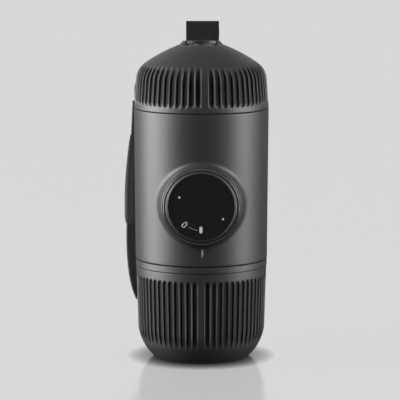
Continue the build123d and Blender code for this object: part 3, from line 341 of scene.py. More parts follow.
finishes["gloss_black"] = gloss_black()
finishes["inner_plastic"] = plain_plastic("inner_plastic", 0.020, 0.34)
print(len(finishes), "finishes so far")

# %% [markdown]
# ## Steel and rubber
#
# The basket, the screws and the pump's rods are brushed stainless steel. Brushing leaves short lines all
# one way, so its noise is stretched a great deal, and it drives the roughness as well as the colour. The
# seals are silicone, which has no shine of its own: dust on it makes it lighter and more matt.


# %% Steel and rubber
def brushed_steel():
    """Stainless steel with short lines from brushing."""
    finish = Finish("brushed_steel", metallic=1.0)
    _, point = finish.place()
    lines = finish.noise(finish.stretched(point, (1.0, 1.0, 14.0)), 2.0, 4.0, 0.6)
    finish.set("Base Color", finish.blend(lines, grey(0.50), grey(0.64)))
    finish.set("Roughness", 0.22 + lines * 0.18)
    finish.bump(lines, 0.01 * MM, 0.3)
    return finish.material


def silicone_rubber():
    """Translucent grey silicone with a dusty, matt skin."""
    finish = Finish("silicone_rubber", specular_ior_level=0.4)
    _, point = finish.place()
    dust = finish.noise(point, 1.2, 4.0, 0.7)
    finish.set("Base Color", finish.blend(dust, grey(0.20), grey(0.27)))
    finish.set("Roughness", 0.5 + dust * 0.2)
    finish.bump(dust, 0.03 * MM, 0.3)
    return finish.material


finishes["stainless"] = brushed_steel()
finishes["silicone"] = silicone_rubber()
print(len(finishes), "finishes so far")

# %% [markdown]
# ## Cloths
#
# The strap is knitted webbing and its pad is spacer mesh. Both are grounds of small cells, and two waves
# that cross at a slant draw them: their product gives diamonds, and their sum gives round cells. An
# image of cloth would need the pieces unwrapped, and waves in the maker's own space don't.


# %% Cloths
def diamonds(x, y, z, cell):
    """Two waves that cross at a slant, a cell apart in millimetres: the ground of a knit."""
    run = 2 * math.pi / cell
    return ((x + y) * run + z * run).sine(), ((x + y) * run - z * run).sine()


PAINTED_LIGHT_BELOW, PAINTED_LIGHT_FADE = 140.0, 8.0  # below this height the webbing is painted lighter: painted light


def webbing_cloth():
    """Black knitted webbing: small diamonds of yarn, matt, and lighter low down as painted light."""
    finish = Finish("webbing_cloth", specular_ior_level=0.25, sheen_weight=0.06, sheen_roughness=0.5)
    (x, y, z), point = finish.place()
    first, second = diamonds(x, y, z, 1.5)
    knit = (first * second) * 0.5 + 0.5
    fuzz = finish.noise(point, 5.0, 3.0, 0.7)
    yarn = knit * 0.8 + fuzz * 0.2
    # the loop hangs in the maker's shade, so its yarn is painted lighter: painted light
    upper_tone = finish.blend(yarn, grey(0.002), grey(0.008))
    painted_lit_tone = finish.blend(yarn, grey(0.008), grey(0.030))
    finish.set("Base Color", finish.blend(z.under(PAINTED_LIGHT_BELOW, PAINTED_LIGHT_FADE), upper_tone, painted_lit_tone))
    finish.set("Roughness", 0.72 + fuzz * 0.2)
    finish.bump(knit + fuzz * 0.5, 0.25 * MM, 0.8)
    return finish.material


def mesh_cloth():
    """Spacer mesh on the strap's pad: rows of open cells in black yarn."""
    finish = Finish("mesh_cloth", specular_ior_level=0.25, sheen_weight=0.1, sheen_roughness=0.5)
    (x, y, z), point = finish.place()
    first, second = diamonds(x * 1.1, y * 1.1, z, 2.2)  # cells a little narrower than they are tall
    cell = (first + second) * 0.25 + 0.5
    fuzz = finish.noise(point, 4.0, 3.0, 0.7)
    finish.set("Base Color", finish.blend(cell, grey(0.005), grey(0.028)))
    finish.set("Roughness", 0.7 + fuzz * 0.2)
    finish.bump(cell, 0.35 * MM, 0.8)
    return finish.material


finishes["webbing"] = webbing_cloth()
finishes["mesh_pad"] = mesh_cloth()
print(len(finishes), "finishes so far")

# %% [markdown]
# ## Finishes on the solid pieces
#
# The pump, the basket and the seals only show when the maker is opened, so their solids are shown as
# they are. Each takes the finish that its maker's record gives it.

# %% Finishes on the solid pieces
for part in frame["record"]["subparts"]:
    piece = nodes[part["node"]]
    piece.data.materials.clear()
    piece.data.materials.append(finishes[part["material_slot"]])
print(len(finishes), "finishes on", len(nodes), "solid pieces")

# %% [markdown]
# ## Profiles and turned meshes
#
# Most of the maker is turned: a profile spun round an axis. A Screw modifier would do it, but grooves
# are carved into the turned walls, and for that each point has to be known. The helpers work in
# millimetres, round the corners of a profile so that edges catch light, and place its rows close
# enough for a smooth curve.


# %% Profiles
def bezier(points, steps=24):
    """Points along a Bezier curve."""
    share = np.linspace(0.0, 1.0, steps + 1)[:, None]
    degree = len(points) - 1
    return sum(
        math.comb(degree, i) * share**i * (1 - share) ** (degree - i) * np.array(p, float)
        for i, p in enumerate(points)
    )


def rounded(*corners):
    """A profile through corners (across, up, rounding)."""
    points = []
    for i, (across, up, cut) in enumerate(corners):
        here = np.array([across, up], float)
        if cut and 0 < i < len(corners) - 1:
            back = np.array(corners[i - 1][:2], float) - here
            on = np.array(corners[i + 1][:2], float) - here
            cut = min(cut, np.linalg.norm(back) / 2, np.linalg.norm(on) / 2)
            start = here + back / np.linalg.norm(back) * cut
            end = here + on / np.linalg.norm(on) * cut
            points.extend(bezier([start, here, end], 6))
        else:
            points.append(here)
    return np.array(points)


def dense(points, step):
    """The same profile with no stretch longer than step."""
    made = [points[0]]
    for a, b in zip(points[:-1], points[1:]):
        count = max(1, math.ceil(np.linalg.norm(b - a) / step))
        made.extend(a + (b - a) * (i + 1) / count for i in range(count) if np.linalg.norm(b - a) > 1e-6)
    return np.array(made)


print("a corner rounded in", len(rounded((0, 0, 0), (1, 0, 0.2), (1, 1, 0))) - 2, "points")

# %% [markdown]
# ### From points to a piece
#
# A grid of points becomes quads, and the mesh takes points and faces as they are. Doubled points are
# merged, so that a profile closes on its axis and two grids join along a shared edge. The new piece
# rides on a body, which carries it at every joint, and takes the place of the solids it stands for.


# %% Mesh helpers
def grid_faces(rows, columns, closed_rows=False, closed_columns=True, start=0):
    """Quads over a grid of points that are numbered row by row from start."""
    faces = []
    for r in range(rows if closed_rows else rows - 1):
        for c in range(columns if closed_columns else columns - 1):
            across, up = (c + 1) % columns, (r + 1) % rows
            a, b = start + r * columns + c, start + r * columns + across
            faces.append((a, b, start + up * columns + across, start + up * columns + c))
    return faces


SAME_POINT = 0.001  # points closer than this, in millimetres, are merged


def new_piece(name, points, faces, finish, body, *replaced):
    """A smooth mesh piece in metres that rides on a body, with doubled points merged."""
    mesh = bpy.data.meshes.new(name)
    mesh.from_pydata((np.asarray(points) * MM).tolist(), [], faces)
    work = bmesh.new()
    work.from_mesh(mesh)
    bmesh.ops.remove_doubles(work, verts=work.verts, dist=SAME_POINT * MM)
    bmesh.ops.recalc_face_normals(work, faces=work.faces)
    work.to_mesh(mesh)
    work.free()
    mesh.polygons.foreach_set("use_smooth", [True] * len(mesh.polygons))
    mesh.materials.append(finishes[finish] if finish in finishes else bpy.data.materials[finish])
    piece = bpy.data.objects.new(name, mesh)
    bpy.context.scene.collection.objects.link(piece)
    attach(piece, body)
    finish in finishes
    if replaced:
        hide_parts(*replaced)
    print(name, len(mesh.vertices), "points")
    return piece


def spun(profile, angles, carve=None):
    """Points of a profile (radius, height) at each angle in degrees, row by row."""
    angle = np.radians(angles)[None, :]
    radius = np.repeat(profile[:, :1], angle.shape[1], axis=1)
    height = np.repeat(profile[:, 1:2], angle.shape[1], axis=1)
    if carve is not None:
        radius = radius - carve(np.degrees(angle), radius, height)
    return np.stack([radius * np.cos(angle), radius * np.sin(angle), height], axis=-1).reshape(-1, 3)


print("mesh helpers ready")

# %% [markdown]
# ## Finger grooves
#
# The cup and the tank are ringed with upright grooves, all but one: a plain land marks the front. A
# boolean cut leaves knife edges that no mould would, so here the wall's own radius dips. Each groove
# is a slot with round ends, and its depth eases in over a short width, which rounds every ridge. The
# mesh's columns stand close together on the ridges, where the wall bends most, and apart on the floors.

# %% Grooved walls
GROOVE_SHARE = 0.84  # a groove's width in pitches, from the middle of one side to that of the other
GROOVE_EASE = 0.24  # half the width over which a groove's side falls
GROOVE_END = 0.75  # a groove's end is this much blunter than a half circle
RIDGE_COLUMNS = (0.0, 0.17, 0.30, 0.342, 0.37, 0.40, 0.43, 0.465)  # in pitches from a groove's middle


def groove_angles(count, land):
    """Angles of the mesh's columns, close together on the ridges."""
    offsets = sorted([*RIDGE_COLUMNS, 0.5, *(-share for share in RIDGE_COLUMNS[1:])])
    numbers = np.arange(count)[:, None]
    return ((numbers + np.array(offsets)[None, :]) * 360.0 / count + FRONT + land).ravel()


def grooves(count, land, reach, low, high, core):
    """How far the wall dips at each point: core gives the radius of the groove's floor at a height."""
    pitch = 360.0 / count
    half = GROOVE_SHARE * math.pi * reach / count

    def carve(angle, radius, height):
        turn = (angle - FRONT - land + 180.0) % 360.0 - 180.0
        number = np.round(turn / pitch)
        side = np.radians(turn - number * pitch) * reach
        beyond = np.maximum(np.maximum(low + half - height, height - high + half), 0.0)
        reached = np.hypot(side, beyond * GROOVE_END)
        inside = np.clip((half + GROOVE_EASE - reached) / (2 * GROOVE_EASE), 0.0, 1.0)
        depth = np.clip(radius - core(height), 0.0, None) * (1.0 - np.sqrt(1.0 - inside**2)) ** 0.8
        return np.where((number == 0) | (beyond > half + 1.0), 0.0, depth)

    return carve


def smooth_step(value):
    """0 to 1 with a level start and end."""
    value = np.clip(value, 0.0, 1.0)
    return value * value * (3 - 2 * value)


def on_rows(carve, first, last):
    """The same carving on the wall's outer rows only."""

    def limited(angle, radius, height):
        cut = carve(angle, radius, height)
        cut[:first], cut[last:] = 0.0, 0.0
        return cut

    return limited


print("a groove takes", GROOVE_SHARE, "of its pitch, and its sides", 2 * GROOVE_EASE, "mm each")

# %% [markdown]
# ## Cup
#
# The cup is a thin-walled tumbler with a rounded foot. It could be a few loops of points under a
# subdivision modifier, but its grooves need rows close together: its outer wall has one about every
# half millimetre, so that the ends of the grooves stay round.

# %% Cup
FOOT_RADIUS, CUP_FLOOR = 22.0, 3.0
BELLY_RADIUS, BELLY_Z = 31.2, 15.0  # where the rounded foot ends and the straight wall begins
CUP_RADIUS, CUP_RIM, CUP_BORE = 32.1, 45.8, 30.0
CUP_GROOVE_LOW, CUP_GROOVE_HIGH = 4.4, 41.05
foot = rounded((0, 0, 0), (8, 0, 0.3), (8, 0.8, 0.3), (19, 0.8, 0.3), (19, 0, 0.3), (FOOT_RADIUS, 0, 0))
bulge = bezier([(FOOT_RADIUS, 0.0), (25.22, 0.6), (30.188, 7.5), (BELLY_RADIUS, BELLY_Z)], 40)
wall = dense(np.array([(BELLY_RADIUS, BELLY_Z), (CUP_RADIUS, CUP_RIM - 0.5)]), 0.45)
rim = rounded(
    (CUP_RADIUS, CUP_RIM - 0.5, 0), (CUP_RADIUS, CUP_RIM, 0.5), (CUP_BORE, CUP_RIM, 0.5),
    (CUP_BORE, 35.8, 0.3), (29.1, BELLY_Z, 0),
)
hollow = bezier([(29.1, BELLY_Z), (28.088, 7.5), (24.17, 3.6), (19.9, CUP_FLOOR)], 24)
cup_profile = np.concatenate([foot, bulge[1:], wall[1:], rim[1:], hollow[1:], [(0.0, CUP_FLOOR)]])


def cup_core(height):
    """The radius of the grooves' floors in the cup."""
    return np.interp(height, [0.0, BELLY_Z, CUP_RIM], [28.0, 30.3, 31.2])


cup_angles = groove_angles(CUP_GROOVES, CUP_LAND)
cup_grooves = grooves(CUP_GROOVES, CUP_LAND, CUP_RADIUS, CUP_GROOVE_LOW, CUP_GROOVE_HIGH, cup_core)
cup_carve = on_rows(cup_grooves, len(foot), len(foot) + len(bulge) + len(wall) - 2)
cup_points = spun(cup_profile, cup_angles, cup_carve)
cup_faces = grid_faces(len(cup_profile), len(cup_angles))
new_piece("cup_wall", cup_points, cup_faces, "shell", "cup", "cup")

# %% [markdown]
# ## Tank
#
# The tank's dome rises as one straight wall, turns over a soft shoulder and runs up a shallow cone to
# the crown. Its grooves run out where the shoulder curves away from their floor.

# %% Tank
BODY_RADIUS = 33.0  # the tank and the body share it
WALL_Z, SHOULDER_Z, RIM_Z = 138.5, 146.6, 154.1
WALL_RADIUS, SHOULDER_RADIUS, RIM_RADIUS = 31.9, 25.8, 11.55
TANK_LOW, TANK_SEAM, SPIGOT_RADIUS = 122.9, 123.7, 27.85
TANK_GROOVE_LOW, TANK_GROOVE_HIGH = 126.8, 150.0
RISE = SHOULDER_Z - WALL_Z
tank_wall = dense(np.array([(BODY_RADIUS, TANK_SEAM + 0.3), (WALL_RADIUS, WALL_Z)]), 0.45)
shoulder = bezier([
    (WALL_RADIUS, WALL_Z), (31.29, WALL_Z + 0.5 * RISE),
    (29.0, SHOULDER_Z - 0.25 * RISE), (SHOULDER_RADIUS, SHOULDER_Z),
], 30)
cone = bezier([(SHOULDER_RADIUS, SHOULDER_Z), (18.925, SHOULDER_Z + 4.5), (RIM_RADIUS, RIM_Z - 0.1)], 20)
tank_base = rounded(
    (SPIGOT_RADIUS, TANK_LOW, 0), (29.45, TANK_LOW, 0.2), (29.45, TANK_SEAM, 0),
    (BODY_RADIUS, TANK_SEAM, 0.3), (BODY_RADIUS, TANK_SEAM + 0.3, 0),
)
socket = rounded(
    (RIM_RADIUS, RIM_Z - 0.1, 0), (11.25, RIM_Z, 0.2), (11.25, RIM_Z - 3.3, 0.3), (4.16, RIM_Z - 3.3, 0),
    (4.16, RIM_Z - 4.5, 0), (11.75, RIM_Z - 4.5, 0), (23.8, SHOULDER_Z - 1.5, 0),
)
tank_hollow = bezier([
    (23.8, SHOULDER_Z - 1.5), (27.02, SHOULDER_Z - 0.4 * RISE), (29.3, WALL_Z + 0.3 * RISE), (29.5, WALL_Z),
], 16)
tank_lip = rounded(
    (29.5, WALL_Z, 0), (30.6, 131.2, 0), (SPIGOT_RADIUS, 128.7, 0), (SPIGOT_RADIUS, TANK_LOW, 0)
)
tank_profile = np.concatenate(
    [tank_base, tank_wall[1:], shoulder[1:], cone[1:], socket[1:], tank_hollow[1:], tank_lip[1:]]
)
TANK_GROOVE_DEPTH = 1.15
run_out = smooth_step((SHOULDER_Z - 0.1 - shoulder[:, 1]) / (0.55 * RISE))
core_height = np.concatenate([[TANK_SEAM], shoulder[:, 1]])
core_radius = np.concatenate([[32.1], shoulder[:, 0] - TANK_GROOVE_DEPTH * run_out])


def tank_core(height):
    """The radius of the grooves' floors in the tank."""
    return np.interp(height, core_height, core_radius)


tank_angles = groove_angles(TANK_GROOVES, TANK_LAND)
tank_grooves = grooves(TANK_GROOVES, TANK_LAND, BODY_RADIUS, TANK_GROOVE_LOW, TANK_GROOVE_HIGH, tank_core)
tank_carve = on_rows(tank_grooves, len(tank_base), len(tank_base) + len(tank_wall) + len(shoulder) - 2)
tank_points = spun(tank_profile, tank_angles, tank_carve)
tank_faces = grid_faces(len(tank_profile), len(tank_angles))
new_piece("tank_dome", tank_points, tank_faces, "shell", "tank", "tank")

# %% [markdown]
# ## Body and pump boss
#
# The body is a plain barrel with a round boss in front, where the button goes in. The boss meets the
# barrel in a soft flare. A boolean would leave a hard crease there, so the wall is laid out as a grid
# with a round hole: rings run out from the bore, over the boss and its flare, and open up into the
# square grid of the barrel.

# %% Barrel
PUMP_Z = 79.4
BODY_LOW, BODY_TOP, BODY_LOW_RADIUS, BORE_RADIUS = 49.5, 123.3, 32.4, 30.2
END_ROUND = 0.35  # rounding at the barrel's two ends
HOLE_HALF = 28.0  # half the patch round the boss, in millimetres
HOLE_TURN = HOLE_HALF / BODY_RADIUS  # and as an angle of the barrel
SIDE = 64  # grid steps along a side of the patch
REST_COLUMNS = 160  # grid steps round the rest of the barrel
ROWS_BELOW = 7  # rows of the barrel's grid under the patch


def barrel(height):
    """The barrel's radius, with its two ends rounded."""
    radius = np.interp(height, [BODY_LOW, BODY_TOP], [BODY_LOW_RADIUS, BODY_RADIUS])
    left = np.clip(END_ROUND - np.minimum(height - BODY_LOW, BODY_TOP - height), 0.0, END_ROUND)
    return radius - END_ROUND + np.sqrt(END_ROUND**2 - left**2)


def on_wall(turn, height, radius):
    """A point of the barrel: turn is in radians, 0 at the front."""
    return np.stack([radius * np.sin(turn), -radius * np.cos(turn), height], axis=-1)


print("barrel from", BODY_LOW, "to", BODY_TOP, "mm up")

# %% [markdown]
# ### Rings over the boss
#
# A ring is worked out whole, with one value for each of its points, because the foot of the boss lies
# deeper at its sides, where the barrel curves away, than above and below. The flare is a curve with
# three control points: on the cone, where cone and barrel would cross, and on the barrel.

# %% Boss rings
CONE_ROWS, FLARE_ROWS, PATCH_ROWS = 4, 10, 12  # rings down the cone, round the flare, out to the square


def boss_ring_stack(wall_radius, start_profile, draft, flare):
    """Rings from the bore's edge over the boss's cone and its flare to the patch in the barrel."""
    around = np.linspace(0.0, 2 * math.pi, 4 * SIDE, endpoint=False) + math.radians(-135.0)

    def ring(reach, depth):
        """One ring round the pump's axis, depth in front of the maker's middle."""
        height = PUMP_Z + reach * np.sin(around)
        return np.stack([reach * np.cos(around), np.full_like(around, -1.0) * depth, height], axis=-1)

    def wall_depth(reach):
        side = reach * np.cos(around)
        up = PUMP_Z + reach * np.sin(around)
        return np.sqrt(wall_radius(up) ** 2 - side**2)

    rows = [ring(reach, depth) for reach, depth in start_profile]
    last_reach, last_depth = start_profile[-1]
    side_radius = np.full_like(around, last_reach)
    for _ in range(6):  # where the cone meets the barrel
        foot = wall_depth(side_radius)
        side_radius = last_reach + draft * (last_depth - foot)
    reach_out = side_radius + flare
    high = np.minimum(flare, np.abs(last_depth - foot) * 0.75)
    bend = side_radius - draft * high
    for share in np.linspace(0.0, 1.0, CONE_ROWS + 1)[1:]:
        reach = last_reach + (bend - last_reach) * share
        rows.append(ring(reach, last_depth + (foot + high - last_depth) * share))
    beyond = wall_depth(reach_out)
    for share in np.linspace(0.0, 1.0, FLARE_ROWS + 1)[1:]:
        a, b, c = (1 - share) ** 2, 2 * share * (1 - share), share**2
        reach = a * bend + b * side_radius + c * reach_out
        rows.append(ring(reach, a * (foot + high) + b * foot + c * beyond))
    ring_up = PUMP_Z + reach_out * np.sin(around)
    ring_turn = np.arcsin(np.clip(reach_out * np.cos(around) / wall_radius(ring_up), -1, 1))
    side = np.linspace(-1.0, 1.0, SIDE + 1)[:-1]
    square_turn = np.concatenate([side, np.ones(SIDE), -side, -np.ones(SIDE)]) * HOLE_TURN
    square_up = PUMP_Z + np.concatenate([-np.ones(SIDE), side, np.ones(SIDE), -side]) * HOLE_HALF
    for share in np.linspace(0.0, 1.0, PATCH_ROWS + 1)[1:]:
        turn = ring_turn + (square_turn - ring_turn) * share
        up = ring_up + (square_up - ring_up) * share
        rows.append(on_wall(turn, up, wall_radius(up)))
    return rows


print("each ring has", 4 * SIDE, "points")

# %% [markdown]
# ### The grid round the boss
#
# The rest of the barrel is a plain grid with the patch's faces left out. Its points along the patch are
# those of the last ring, so the two become one surface when doubled points are merged.


# %% Barrel grid
def heights_of_wall():
    """The rows of the barrel's grid: close together at the rounded ends and even along the patch."""
    ends = np.array([0.0, 0.02, 0.07, 0.15, 0.25, END_ROUND])
    return np.concatenate([
        BODY_LOW + ends,
        [BODY_LOW + 1.1],
        np.linspace(PUMP_Z - HOLE_HALF, PUMP_Z + HOLE_HALF, SIDE + 1),
        np.linspace(PUMP_Z + HOLE_HALF, BODY_TOP - END_ROUND, 18)[1:],
        BODY_TOP - ends[::-1][1:],
    ])


def barrel_grid(wall_radius):
    """The rest of the barrel as one grid with the patch left out: points and faces."""
    inside = np.linspace(-HOLE_TURN, HOLE_TURN, SIDE + 1)
    outside = np.linspace(HOLE_TURN, 2 * math.pi - HOLE_TURN, REST_COLUMNS + 1)[1:-1]
    turns = np.concatenate([inside, outside])
    heights = heights_of_wall()
    turn, up = np.meshgrid(turns, heights)
    points = on_wall(turn, up, wall_radius(up)).reshape(-1, 3)
    faces = [
        face for i, face in enumerate(grid_faces(len(heights), len(turns)))
        if not (i % len(turns) < SIDE and ROWS_BELOW <= i // len(turns) < ROWS_BELOW + SIDE)
    ]
    return points, faces


print("barrel grid of", len(heights_of_wall()), "by", SIDE + REST_COLUMNS)

# %% [markdown]
# ### Outer and inner skin
#
# The wall has a thickness that shows at its open ends. A Solidify modifier would thicken the boss too,
# which is hollowed by a straight bore, so the inner skin is laid out by the same functions from its own
# profile, and two rims close the wall.


# %% Body skins
def inner_barrel(height):
    """The bore's radius, the same at every height."""
    return np.full_like(np.asarray(height, float), BORE_RADIUS)


def body_surface(wall_radius, start_profile, draft, flare):
    """One skin of the wall: the barrel's grid and the rings of its patch."""
    rows = boss_ring_stack(wall_radius, start_profile, draft, flare)
    points, faces = barrel_grid(wall_radius)
    patch = grid_faces(len(rows), 4 * SIDE, start=len(points))
    return np.concatenate([points, np.concatenate(rows)]), faces + patch


boss_face = np.concatenate([
    rounded((17.6, 22.0, 0), (17.6, 35.6, 0), (18.4, 35.6, 0), (18.4, 36.55, 0.12), (18.6, 36.6, 0)),
    bezier([(18.6, 36.6), (19.1, 36.6), (19.35, 35.6)], 8)[1:],
])
bore_back = np.array([(17.6, 22.0), (20.3, 22.0), (20.3, 22.05)])
outer_points, outer_faces = body_surface(barrel, boss_face, 0.16, 2.0)
inner_points, inner_faces = body_surface(inner_barrel, bore_back, 0.0, 0.3)
columns = SIDE + REST_COLUMNS
last_row = len(heights_of_wall()) - 1
shift = len(outer_points)
rim_faces = [
    tuple(row * columns + c + part for c, part in ((a, 0), (b, 0), (b, shift), (a, shift)))
    for row in (0, last_row) for a, b in ((i, (i + 1) % columns) for i in range(columns))
]
body_points = [outer_points, inner_points]
body_faces = outer_faces + [tuple(i + shift for i in face) for face in inner_faces] + rim_faces
print("body wall", len(body_faces), "faces")

# %% [markdown]
# ### Inside the body
#
# A ledge runs round the bore's lower end, and four hollow posts behind the boss take the pump's screws.
# Nobody sees how they join the wall, so they are plain turned rings that sink into it.

# %% Body ledge and screw posts
POST_OFF = 15.5  # the pump's screws stand this far from its axis, across and up
LEDGE = [(28.25, 49.55), (30.4, 49.55), (30.4, 54.5), (28.25, 54.5)]
POST = [(1.1, -19.1), (2.6, -19.1), (2.6, -26.2), (1.1, -26.2)]


def add_turned(profile, steps, centre=None):
    """A closed ring turned about Z, or about a line along Y through centre (x, z)."""
    made = spun(np.array(profile, float), np.arange(steps) * 360.0 / steps)
    if centre:
        made = np.stack([made[:, 0] + centre[0], made[:, 2], made[:, 1] + centre[1]], axis=-1)
    start = sum(len(part) for part in body_points)
    body_points.append(made)
    body_faces.extend(grid_faces(len(profile), steps, closed_rows=True, start=start))


add_turned(LEDGE, 160)
for side_x in (-POST_OFF, POST_OFF):
    for side_z in (-POST_OFF, POST_OFF):
        add_turned(POST, 32, (side_x, PUMP_Z + side_z))
new_piece("body_wall", np.concatenate(body_points), body_faces, "shell", "body", "body_shell")

# %% [markdown]
# ## Button, trim ring and dial marks
#
# The pump button is a round cap with a black disc let into its face, inside a thin bright-edged ring.
# All three are turned about the pump's axis. The disc carries plain dial marks, printed flat: a pill
# and an open oval joined by dots, and two dots more.

# %% Button pieces
AXIS_STEPS = 224


def turned_forward(name, profile, finish, body, *replaced):
    """A piece turned about the pump's axis from a profile of (radius, distance forward)."""
    made = spun(profile, np.arange(AXIS_STEPS) * 360.0 / AXIS_STEPS)
    points = np.stack([made[:, 0], -made[:, 2], made[:, 1] + PUMP_Z], axis=-1)
    closed = profile[0][0] > 0
    faces = grid_faces(len(profile), AXIS_STEPS, closed_rows=closed)
    return new_piece(name, points, faces, finish, body, *replaced)


def trim_gloss():
    """Lacquered grey plastic, bright enough to draw a thin line round the button."""
    finish = Finish("trim_gloss", specular_ior_level=1.0, coat_weight=0.6, coat_roughness=0.1)
    _, point = finish.place()
    wear = finish.noise(point, 2.0, 4.0)
    finish.set("Base Color", finish.blend(wear, grey(0.07), grey(0.10)))
    finish.set("Roughness", 0.24 + wear * 0.10)


trim_gloss()
trim_ring = turned_forward(
    "trim_ring_turned",
    rounded((17.62, 35.62, 0), (17.62, 37.1, 0.2), (18.34, 37.1, 0.36), (18.34, 35.62, 0)),
    "trim_gloss", "body", "trim_ring",
)
turned_forward(
    "button_cap_turned",
    rounded(
        (15.05, 20.0, 0), (17.25, 20.0, 0.3), (17.25, 38.0, 0.35), (16.15, 38.58, 0.2),
        (15.96, 38.4, 0.1), (15.96, 37.35, 0), (4.55, 37.35, 0), (4.55, 36.1, 0), (2.2, 36.1, 0),
        (2.2, 33.75, 0), (5.0, 33.75, 0), (5.0, 35.25, 0), (15.05, 35.25, 0.5),
    ),
    "shell", "button", "button_cap",
)

# %% [markdown]
# ### Printed marks
#
# A print has no thickness to speak of, so it isn't modelled. The disc's material measures how far each
# point is from a dot, a line or an oval, and a soft step at the mark's radius turns that into paint.

# %% Dial disc
DOTS = ((155.5, 11.5), (-28.5, 11.8))  # degrees round the disc, distance from its middle
DOT_RADIUS, LINK_RADIUS, LINK_REACH = 0.5, 0.17, 11.2
LINK_TURNS = (-121.0, -116.0, -111.0, -106.0, -101.0)
PILL_PLACE, PILL_HALF, PILL_RADIUS = (-0.2, -10.9), 0.85, 0.75
OVAL_TURN, OVAL_REACH, OVAL_HALF, OVAL_RADIUS, OVAL_LINE = -134.0, 11.6, 0.65, 0.72, 0.2
PRINT_SOFT = 0.10  # how soft the print's edge is


def dial_disc():
    """Polished black disc with light printed marks, placed in millimetres from the disc's middle."""
    finish = Finish("dial_disc", specular_ior_level=0.5)
    (x, _, z), point = finish.place()
    up = z - PUMP_Z

    def distance(across, along):
        return (across * across + along * along).root()

    def from_dot(degrees, reach):
        turn = math.radians(degrees)
        return distance(x - reach * math.cos(turn), up - reach * math.sin(turn))

    def past(value, half):
        """How far a value is past half to either side: it draws a dot out into a long round end."""
        return (value.size() - half).larger(0.0)

    marks = distance(x - PILL_PLACE[0], past(up - PILL_PLACE[1], PILL_HALF)).under(PILL_RADIUS, PRINT_SOFT)
    for degrees, reach in DOTS:
        marks = marks.larger(from_dot(degrees, reach).under(DOT_RADIUS, PRINT_SOFT))
    for degrees in LINK_TURNS:
        marks = marks.larger(from_dot(degrees, LINK_REACH).under(LINK_RADIUS, PRINT_SOFT))
    lean = math.radians(OVAL_TURN)
    outward = (x * math.cos(lean) + up * math.sin(lean)) - OVAL_REACH
    sideways = up * math.cos(lean) - x * math.sin(lean)
    oval = distance(past(outward, OVAL_HALF), sideways)
    marks = marks.larger((oval - OVAL_RADIUS).size().under(OVAL_LINE, PRINT_SOFT))
    wear = finish.noise(finish.stretched(point, (0.4, 1.0, 2.0)), 3.0, 4.0, 0.7)
    finish.set("Base Color", finish.blend(marks, finish.blend(wear, grey(0.008), grey(0.014)), grey(0.62)))
    finish.set("Roughness", 0.20 + wear * 0.10 + marks * 0.25)


dial_disc()
disc = turned_forward(
    "button_disc_turned",
    rounded((0, 37.42, 0), (15.88, 37.42, 0), (15.88, 38.26, 0.3), (0, 38.26, 0)),
    "dial_disc", "button", "button_plate",
)

# %% [markdown]
# ## Index mark
#
# A short light line on the body shows where the dial points. It is a paint-filled sliver, so it is a
# small raised pill that follows the barrel.

# %% Index mark
MARK_STEPS, MARK_X, MARK_Z, MARK_HALF, MARK_RADIUS = 20, 0.45, 56.1, 1.75, 0.38
mark_turns = [2 * math.pi * i / MARK_STEPS for i in range(MARK_STEPS)]
mark_ring = np.array([
    (MARK_X + MARK_RADIUS * math.cos(turn),
     MARK_Z + math.copysign(MARK_HALF, math.sin(turn)) + MARK_RADIUS * math.sin(turn))
    for turn in mark_turns
])
mark_wall = barrel(mark_ring[:, 1])
mark_points = np.concatenate([
    on_wall(mark_ring[:, 0] / BODY_RADIUS, mark_ring[:, 1], mark_wall + proud) for proud in (-0.15, 0.05)
])
mark_low, mark_top = range(MARK_STEPS), range(MARK_STEPS, 2 * MARK_STEPS)
mark_faces = grid_faces(2, MARK_STEPS) + [tuple(mark_low)[::-1], tuple(mark_top)]
mark_paint = Finish("mark_paint", roughness=0.5)
_, mark_place = mark_paint.place()
mark_drift = mark_paint.noise(mark_place, 3.0, 3.0)
mark_paint.set("Base Color", mark_paint.blend(mark_drift, grey(0.115), grey(0.17)))
new_piece("index_mark", mark_points, mark_faces, "mark_paint", "body")

# %% [markdown]
# ## Strap webbing
#
# The hand strap is flat knitted webbing: a folded tab over the crown's pin, a neck that runs down over
# the dome, and a loop for the hand. Cloth simulation would wash out a strap this narrow, so each run is
# a ribbon swept along its own path, with a knitted relief, beaded edges and a slight waver.

# %% Webbing
STRAP_TURN = math.radians(140.0)  # where the loop hangs, round the body from +X
OUT = np.array([math.cos(STRAP_TURN), math.sin(STRAP_TURN), 0.0])
UP = np.array([0.0, 0.0, 1.0])
ASIDE = np.cross(OUT, UP)
PIN_X, PIN_Y, PIN_Z = 0.6, 24.0, 150.96
WEB_WIDTH, WEB_THICK, WEB_STEP = 16.6, 1.2, 0.34
KNIT_CELL, KNIT_HEIGHT = 1.7, 0.07
BEAD_FROM, BEAD_FADE, BEAD_PITCH, BEAD_HEIGHT = 0.86, 0.10, 0.95, 0.05  # from and fade in half widths
GROUND_THICK, EDGE_ROUND, EDGE_THIN = 0.80, 0.06, 0.12  # shares of the thickness and of a half width
WAVER, WAVER_PITCH, WAVER_FROM = 0.10, 1.4, 0.9


def even(path, step):
    """The same path with points a step apart."""
    path = np.asarray(path, float)
    run = np.concatenate([[0.0], np.cumsum(np.linalg.norm(np.diff(path, axis=0), axis=1))])
    count = max(2, round(run[-1] / step))
    where = np.linspace(0.0, run[-1], count + 1)
    return np.stack([np.interp(where, run, path[:, i]) for i in range(path.shape[1])], axis=-1), where


